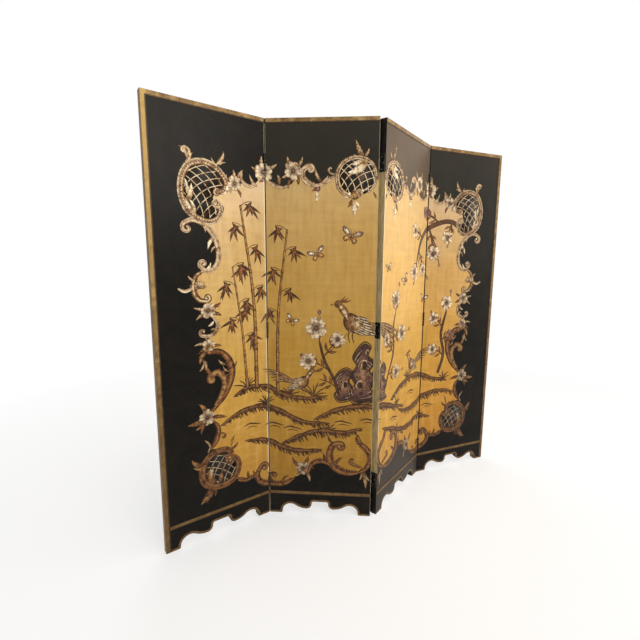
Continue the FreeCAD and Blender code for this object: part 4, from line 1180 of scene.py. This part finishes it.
def paint_material(name):
    """Oil paint and bronze powder over gesso, in the drawing's own colours, crazed and a little dirty."""
    g = Graph(name, Metallic=0.1, Specular_IOR_Level=0.26)
    where = g.coords()
    paint = g.add("Attribute", {}, attribute_name="paint").outputs["Color"]
    dirt = g.noise(where, 52, 5, 0.65)
    tone = g.veil(paint, dirt, (0.4, 0.9), (0.54, 0.0), g.mix(1.0, paint, linear(136, 100, 68), "MULTIPLY"))
    tone = g.veil(tone, g.noise(where, 24, 3, 0.6), (0.52, 0.0), (0.66, 0.3), linear(122, 84, 48))
    fleck = g.noise(where, 330, 2, 0.5)
    tone = g.veil(tone, fleck, (0.62, 0.0), (0.78, 0.22), linear(200, 162, 104))
    return g.finish(tone, dirt, 0.36, 0.6, g.mix(0.5, dirt, fleck), 0.3)


def plain_material(name, stretch, pattern, low, high, bump, *stops, **sockets):
    """A material whose colour, roughness and bump all follow one noise."""
    g = Graph(name, **sockets)
    tone = g.noise(g.coords(stretch), *pattern)
    return g.finish(g.ramp(tone, *stops), tone, low, high, tone, bump)


def wood_material():
    return plain_material("bare_wood", (18, 18, 0.9), (6, 6, 0.6, 1.2), 0.5, 0.75, 0.3, (0.3, linear(150, 112, 72)),
                          (0.55, linear(196, 158, 112)), (0.75, linear(214, 180, 136)))


def hinge_material():
    """Black paint on iron, rubbed bright along the edges and in places."""
    g = Graph("hinge_black", Specular_IOR_Level=0.3)
    where = g.coords()
    rim = g.add("Attribute", {}, attribute_name="paint").outputs["Fac"]
    patchy = g.noise(where, 160, 5, 0.7)
    wear = g.math("MAXIMUM", g.ramp(patchy, (0.64, 0.0), (0.7, 0.8)),
                  g.times(rim, g.ramp(patchy, (0.36, 0.2), (0.52, 1.0))))
    g.feed(g.shader.inputs["Metallic"], g.times(wear, 0.5))
    tone = g.mix(wear, linear(13, 12, 11), linear(150, 138, 116))
    return g.finish(tone, g.noise(where, 90), 0.34, 0.52, g.noise(where, 300, 3), 0.15)


def steel_material():
    return plain_material("worn_steel", (1, 1, 1), (400, 4, 0.6), 0.28, 0.5, 0.12, (0.35, linear(110, 102, 90)),
                          (0.6, linear(170, 162, 148)), (0.8, linear(84, 66, 48)), Metallic=1.0)


def dress_frame():
    """Materials of the panels' pieces and of the pins."""
    wood = wood_material()
    for panel in PANELS:
        front = lacquer("lacquer_front_%d" % panel, panel, LACQUER_TOPS_WITH_SHEEN[panel], LACQUER_FEET_WITH_SHEEN[panel],
                        linear(64, 52, 36))
        back = lacquer("lacquer_back_%d" % panel, panel, linear(26, 23, 19), linear(12, 10, 8), linear(52, 45, 36))
        edge = edge_material(panel)
        wearing = {"front_board": front, "back_board": back, "left_stile": edge, "right_stile": edge,
                   "top_rail": edge, "apron_rail": edge, "cross_rails": wood,
                   "gilt_border": gilt_material(panel, "border"), "gilt_band": gilt_material(panel, "band")}
        for name, material in wearing.items():
            wear(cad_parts["%s_%d" % (name, panel)], material)
    steel = steel_material()
    for fold in ("12", "23", "34"):
        wear(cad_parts["hinge_pins_%s" % fold], steel)
    return steel


def wear(node, material):
    node.data.materials.clear()
    node.data.materials.append(material)


def gold_field():
    """Gold leaf laid on the lacquer, one thin piece a panel."""
    left = curve(FIELD_EDGE, 5.0)
    right = left[::-1] * (-1, 1) + (STRIP, 0)
    art = Relief()
    art.patch(np.vstack([left, right[1:-1]]), OCHRE, 0.25)
    mesh = painted_mesh("gold_field", [art])
    for piece in on_panels("gold_field", mesh, field_material, FIELD_ROOM):
        piece.data.polygons.foreach_set("use_smooth", [False] * len(piece.data.polygons))


def ornament():
    """The border's ornament, drawn for the left half and mirrored, and the picture on the field."""
    left = Relief()
    for part in (top_left_cartouche, left_side, low_left_cartouche, bottom_edge, top_edge, top_middle_cartouche):
        part(left)
    scene = Relief()
    picture(scene)
    for name, paint, arts, shades, slot in (
            ("border_ornament", "border_paint", [left, left.mirrored()], (0.62, 0.74), "gilt"),
            ("picture", "picture_paint", [scene], (0.8,), "lacquer_front")):
        material = paint_material(paint)
        on_panels(name, painted_mesh(name, arts, *shades), lambda panel: material, PAINT_ROOM)


# Gilt line along the scalloped edge
def swing(x, z, outer, inner, first, last):
    """Points of two concentric arcs, in degrees from first to last."""
    turn = np.radians(np.linspace(first, last, max(int(abs(last - first) / 6), 3)))[:, None]
    ring = np.hstack([np.cos(turn), np.sin(turn)])
    return (x, z) + outer * ring, (x, z) + inner * ring


def scallop_line():
    """The lower edge's right half, and the inner side of the gilt line, point by point."""
    lobe_x = LOBE_SHARE * FOOT_INNER
    lobe_z = LOBE_LOW + LOBE_RADIUS
    corner_z = PLATEAU - PLATEAU_CORNER
    corner_x = lobe_x - math.sqrt((LOBE_RADIUS + PLATEAU_CORNER) ** 2 - (lobe_z - corner_z) ** 2)
    arch_x = FOOT_INNER - ARCH_RADIUS
    foot_x = FOOT_INNER + FOOT_CORNER
    run, rise = arch_x - lobe_x, LOBE_LOW - ARCH_RISE
    flank = (run ** 2 + rise ** 2 - ARCH_RADIUS ** 2) / (2 * (ARCH_RADIUS - rise))
    tilt = math.degrees(math.atan2(lobe_z - corner_z, lobe_x - corner_x))
    slope = math.degrees(math.atan2(ARCH_RISE - LOBE_LOW - flank, run))

    def level(first, last, z):
        line = np.array([(first, z), (last, z)])
        return line, line + (0, GILT_LINE)

    parts = [
        level(0, corner_x - 1, PLATEAU),
        swing(corner_x, corner_z, PLATEAU_CORNER, PLATEAU_CORNER + GILT_LINE, 90, tilt),
        swing(lobe_x, lobe_z, LOBE_RADIUS, LOBE_RADIUS - GILT_LINE, 180 + tilt, 269),
        swing(lobe_x, LOBE_LOW + flank, flank, flank - GILT_LINE, -89, slope),
        swing(arch_x, ARCH_RISE, ARCH_RADIUS, ARCH_RADIUS + GILT_LINE, 180 + slope, 0),
        swing(foot_x, FOOT_CORNER, FOOT_CORNER, 0.1, 180, 270),
        level(foot_x + 4, PANEL_WIDTH / 2, 0)]
    outer, inner = np.vstack([part[0] for part in parts]), np.vstack([part[1] for part in parts])
    inner[-2 - len(parts[5][0]):-2] = (FOOT_INNER + GILT_LINE, GILT_LINE)
    return outer, inner


def gilt_line():
    """Gold painted along the scalloped edge and the feet, a little proud."""
    outer, inner = scallop_line()
    shares = np.array([0.03, 0.12, 0.88, 1.0])
    heights = np.array([0.0, 0.35, 0.35, SUNK])
    n = len(outer)
    points = (outer[:, None] + shares[:, None] * (inner - outer)[:, None]).reshape(-1, 2)
    faces = [(i * 4 + j, i * 4 + j + 1, i * 4 + j + 5, i * 4 + j + 4) for i in range(n - 1) for j in range(3)]
    art = Relief()
    for panel in PANELS:
        for side in (-1, 1):
            art.put(points * (side, 1) + ((panel - 0.5) * PANEL_WIDTH, 0), np.tile(heights, n),
                    [face[::-side] for face in faces], np.tile(OCHRE, (4 * n, 1)))
    on_panels("gilt_line", painted_mesh("gilt_line", [art]),
              lambda panel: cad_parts["gilt_band_%d" % panel].data.materials[0], LINE_ROOM)


# Butt hinges, in their own frame: a into the panel from the pin, b from the pin along the panel's edge, z up
class Shape:
    """Rings of points joined to one mesh, each point with its share of wear."""

    def __init__(self):
        self.points = []
        self.worn = []
        self.faces = []

    def rings(self, rings, worn):
        """Skin over rings of equal length, with a filled cap on the first and on the last."""
        base, n = len(self.points), len(rings[0])
        for ring, share in zip(rings, worn):
            self.points += [tuple(point) for point in ring]
            self.worn += [share] * n
        for r in range(len(rings) - 1):
            for i in range(n):
                a, b = base + r * n + i, base + r * n + (i + 1) % n
                self.faces.append((a, b, b + n, a + n))
        for ring in (0, len(rings) - 1):
            corners = tessellate_polygon([[Vector(point) for point in rings[ring]]])
            self.faces += [tuple(base + ring * n + index for index in corner) for corner in corners]

    def turned(self, profile, worn):
        """A closed profile of radius and height turned about the z axis."""
        base, n, sides = len(self.points), len(profile), 24
        for k in range(sides):
            angle = 2 * math.pi * k / sides
            self.points += [(radius * math.cos(angle), radius * math.sin(angle), z) for radius, z in profile]
            self.worn += list(worn)
        for k in range(sides):
            for i in range(n):
                a, b = base + k * n, base + (k + 1) % sides * n
                self.faces.append((a + i, a + (i + 1) % n, b + (i + 1) % n, b + i))


def inset(outline, distance):
    """A closed outline moved inwards."""
    ahead = np.roll(outline, -1, axis=0) - outline
    inwards = quarter(ahead / np.linalg.norm(ahead, axis=1)[:, None]) * np.sign(signed_area(outline))
    before = np.roll(inwards, 1, axis=0)
    return outline + distance * (inwards + before) / (1 + np.sum(inwards * before, axis=1))[:, None]


def leaf_outline(own):
    """Side view of a leaf, cut back where the other leaf's knuckles turn."""
    half, pitch = HINGE_LENGTH / 2, HINGE_LENGTH / KNUCKLES
    points = []
    for k in range(KNUCKLES):
        near = KNUCKLE_ROOT if k in own else BARREL_RADIUS + 0.6
        points += [(near, -half + k * pitch), (near, -half + (k + 1) * pitch)]
    for z, first in ((half - LEAF_CORNER, 90), (-half + LEAF_CORNER, 0)):
        points += [heading(math.radians(first - 22.5 * k)) * LEAF_CORNER + (LEAF_END - LEAF_CORNER, z)
                   for k in range(5)]
    return np.array(points)


def hinge_leaf(own):
    shape = Shape()
    outline = leaf_outline(own)
    rings = [(outline, PIN_TO_EDGE + LEAF_THICKNESS - 0.02), (outline, PIN_TO_EDGE + LEAF_BEVEL),
             (inset(outline, LEAF_BEVEL), PIN_TO_EDGE), (inset(outline, 0.9), PIN_TO_EDGE)]
    shape.rings([[(a, b, z) for b, z in ring] for ring, a in rings], (0, 1, 1, 0))
    half, pitch = HINGE_LENGTH / 2, HINGE_LENGTH / KNUCKLES
    bore, barrel, soft = BORE_RADIUS, BARREL_RADIUS, 0.3
    for k in own:
        low, high = -half + k * pitch + KNUCKLE_PLAY, -half + (k + 1) * pitch - KNUCKLE_PLAY
        shape.turned([(bore, low), (barrel - soft, low), (barrel, low + soft), (barrel, low + 3 * soft),
                      (barrel, high - 3 * soft), (barrel, high - soft), (barrel - soft, high), (bore, high)],
                     (0, 1, 1, 0, 0, 1, 1, 0))
    return shape


def screw_head(shape, b, z, turn):
    """A countersunk head with its slot, on the leaf's visible face."""
    reach = math.degrees(math.asin(SCREW_SLOT / SCREW_RADIUS))
    way = heading(turn)
    for side in (0, 180):
        angles = np.radians(np.linspace(side + reach, side + 180 - reach, 13))
        moon = SCREW_RADIUS * np.column_stack([np.cos(angles), np.sin(angles)])
        rings = []
        for ring, a in ((moon, 1.0), (moon, PIN_TO_EDGE - 0.1), (inset(moon, 0.35), PIN_TO_EDGE - 0.25)):
            laid = ring[:, :1] * way + ring[:, 1:] * quarter(way) + (b, z)
            rings.append([(a, *point) for point in laid])
        shape.rings(rings, (0, 1, 0.5))


def hinge_spot(panel, side, barrel, a, b, z):
    """A point of a hinge's own frame, in the row frame."""
    y = b - BARREL_OFFSET if barrel == "front" else PANEL_THICKNESS + BARREL_OFFSET - b
    return PLACES[panel] @ (Vector((side * (PANEL_WIDTH / 2 + PIN_TO_EDGE - a), y, z)) * MM)


def new_piece(name, points, faces, material, worn=None):
    """A piece from points and faces, its faces turned outwards."""
    made = bpy.data.meshes.new(name)
    made.from_pydata(points, [], faces)
    if worn is not None:
        colour = made.color_attributes.new("paint", "FLOAT_COLOR", "POINT")
        colour.data.foreach_set("color", np.repeat(worn, 4))
    work = bmesh.new()
    work.from_mesh(made)
    bmesh.ops.recalc_face_normals(work, faces=work.faces)
    work.to_mesh(made)
    work.free()
    made.materials.append(material)
    piece = in_scene(name, made)
    return piece


def hang(name, shape, panel, side, barrel, material):
    """Three copies of a hinge part on a panel's edge, as one piece."""
    points = []
    faces = []
    for middle in HINGE_MIDDLES:
        faces += [tuple(index + len(points) for index in face) for face in shape.faces]
        points += [hinge_spot(panel, side, barrel, a, b, middle + z) for a, b, z in shape.points]
    piece = new_piece(name, points, faces, material, np.tile(shape.worn, len(HINGE_MIDDLES)))
    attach(piece, "panel_%d" % panel)
    return piece


def hinges(steel):
    black = hinge_material()
    for fold, panel, side, barrel, own in HINGES:
        count = "three" if len(own) == 3 else "two"
        piece = hang("leaves_%s_%s" % (fold, count), hinge_leaf(own), panel, side, barrel, black)
        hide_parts("hinge_leaves_%s_%s_knuckles" % (fold, count))
        shape = Shape()
        for b, z in SCREW_SPOTS:
            screw_head(shape, b, z, random.uniform(0, math.pi))
        hang("screws_%s_%s" % (fold, count), shape, panel, side, barrel, steel)


# Fold shade strips: dark sheets standing in for the shade in the folds
def fold_shade_strip(fold, left, right, barrel, spans, material):
    """A strip from one edge to the other, bent round the pin."""
    def spot(panel, a, b=SHADE_STRIP_NEAR):
        return hinge_spot(panel, 1 if panel == left else -1, barrel, a, b, 0)

    middle = PIN_TO_EDGE - SHADE_STRIP_CLEARANCE - SHADE_STRIP / 2
    pin = spot(left, 0, 0)
    near, far = spot(left, middle) - pin, spot(right, middle) - pin
    opening = near.angle(far)
    arc = [pin + (near * math.sin((1 - s) * opening) + far * math.sin(s * opening)) / math.sin(opening)
           for s in np.linspace(0, 1, 11)]
    ends = spot(left, middle, SHADE_STRIP_DEEP), spot(right, middle, SHADE_STRIP_DEEP)
    line = np.array([point[:2] for point in (ends[0], *arc, ends[1])])
    aside = left_of(line) * SHADE_STRIP / 2 * MM
    section = np.vstack([line + aside, (line - aside)[::-1]])
    n, points, faces = len(section), [], []
    for low, high in spans:
        shift = len(points)
        points += [(x, y, z * MM) for z in (low, high) for x, y in section]
        faces += [(shift + i, shift + (i + 1) % n, shift + n + (i + 1) % n, shift + n + i) for i in range(n)]
        for i in range(n // 2 - 1):
            cap = (i, i + 1, n - 2 - i, n - 1 - i)
            faces += [tuple(shift + index for index in cap), tuple(shift + n + index for index in cap)]
    piece = new_piece("fold_lining_%s" % fold, points, faces, material)
    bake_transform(piece)


def fold_shade_strips():
    black = plain_material("fold_shade_black", (1, 1, 1), (700, 2, 0.5), 0.6, 0.8, 0.3, (0.35, linear(9, 8, 7)),
                           (0.7, linear(26, 23, 20)), Specular_IOR_Level=0.15)
    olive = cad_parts["left_stile_3"].data.materials[0]
    cuts = [SHADE_STRIP_LOW]
    for middle in reversed(HINGE_MIDDLES):
        cuts += [middle - HINGE_LENGTH / 2 - SHADE_STRIP_GAP, middle + HINGE_LENGTH / 2 + SHADE_STRIP_GAP]
    cuts.append(PANEL_HEIGHT - SHADE_STRIP_SHORT)
    spans = list(zip(cuts[::2], cuts[1::2]))
    for fold, left, right, barrel, material, slot in (
            ("12", 1, 2, "front", black, "lacquer_back"), ("23", 2, 3, "back", olive, "frame_edge"),
            ("34", 3, 4, "front", black, "lacquer_back")):
        fold_shade_strip(fold, left, right, barrel, spans, material)


# Camera, floor and light, in metres, degrees and watts; the lens and its sensor in millimetres
CAMERA_PLACE = (-1.1940, -1.8155, 1.4252)
CAMERA_HEADING = 26.895
CAMERA_TILT = 8.476
CAMERA_ROLL = 0.301
CAMERA_LENS = 21.649
CAMERA_SENSOR = 36
FLOOR_RADIUS = 14.0
FLOOR_FADE = (1.2, 4.0)
WORLD_LIGHT = 0.55


def make_camera():
    data = bpy.data.cameras.new("camera")
    data.lens = CAMERA_LENS
    data.sensor_width = CAMERA_SENSOR
    camera = in_scene("camera", data)
    turn = Matrix.Rotation(-math.radians(CAMERA_HEADING), 4, "Z")
    tilt = Matrix.Rotation(math.radians(90 - CAMERA_TILT), 4, "X")
    roll = Matrix.Rotation(math.radians(CAMERA_ROLL), 4, "Z")
    camera.matrix_world = Matrix.Translation(CAMERA_PLACE) @ turn @ tilt @ roll
    bpy.context.scene.camera = camera


def area_light(name, place, target, size, power, colour):
    data = bpy.data.lights.new(name, "AREA")
    data.shape = "RECTANGLE"
    data.size, data.size_y = size
    data.energy = power
    data.color = colour
    lamp = in_scene(name, data)
    lamp.rotation_euler = (Vector(target) - Vector(place)).to_track_quat("-Z", "Y").to_euler()
    lamp.location = place


def make_stage():
    """A white floor that keeps a soft shadow and fades into a white world."""
    bpy.ops.mesh.primitive_circle_add(vertices=96, radius=FLOOR_RADIUS, fill_type="NGON")
    floor = bpy.context.object
    floor.name = "floor"
    g = Graph("floor_white", Roughness=0.9)
    g.feed(g.shader.inputs["Base Color"], linear(244, 243, 241))
    glow = g.add("Emission", {"Color": (1.0, 1.0, 1.0, 1.0)})
    seen = g.seen()
    far = g.add("VectorMath", {0: g.add("TexCoord", {}).outputs["Object"]}, operation="LENGTH").outputs["Value"]
    share = g.times(seen, g.spread(far, *FLOOR_FADE, WORLD_LIGHT, 1.0))
    blend = g.add("MixShader", {0: share, 1: g.shader.outputs[0], 2: glow.outputs[0]})
    g.feed(g.tree.nodes["Material Output"].inputs["Surface"], blend.outputs[0])
    floor.data.materials.append(g.material)
    world = bpy.data.worlds.new("white_world")
    bpy.context.scene.world = world
    world.use_nodes = True
    nodes = Nodes(world.node_tree)
    back = world.node_tree.nodes["Background"]
    nodes.feed(back.inputs["Strength"], nodes.spread(nodes.seen(), start=WORLD_LIGHT))
    nodes.feed(back.inputs["Color"], (1.0, 1.0, 1.0))


hinges(dress_frame())
gold_field()
ornament()
gilt_line()
fold_shade_strips()
make_camera()
make_stage()
area_light("key", (3.4, -0.8, 1.9), (0.2, 0.0, 1.3), (2.2, 2.6), 50, (1.0, 0.86, 0.7))
area_light("front", (0.3, -3.9, 3.0), (-0.4, 0.0, 1.2), (2.4, 2.0), 74, (1.0, 0.95, 0.89))
area_light("top", (0.2, -0.8, 4.2), (0.0, 0.0, 0.8), (3.0, 2.0), 40, (1.0, 0.98, 0.95))
area_light("back", (0.4, 3.6, 2.6), (0.0, 0.0, 1.0), (2.6, 2.0), 45, (1.0, 0.98, 0.96))

bpy.context.scene.view_settings.view_transform = "Standard"
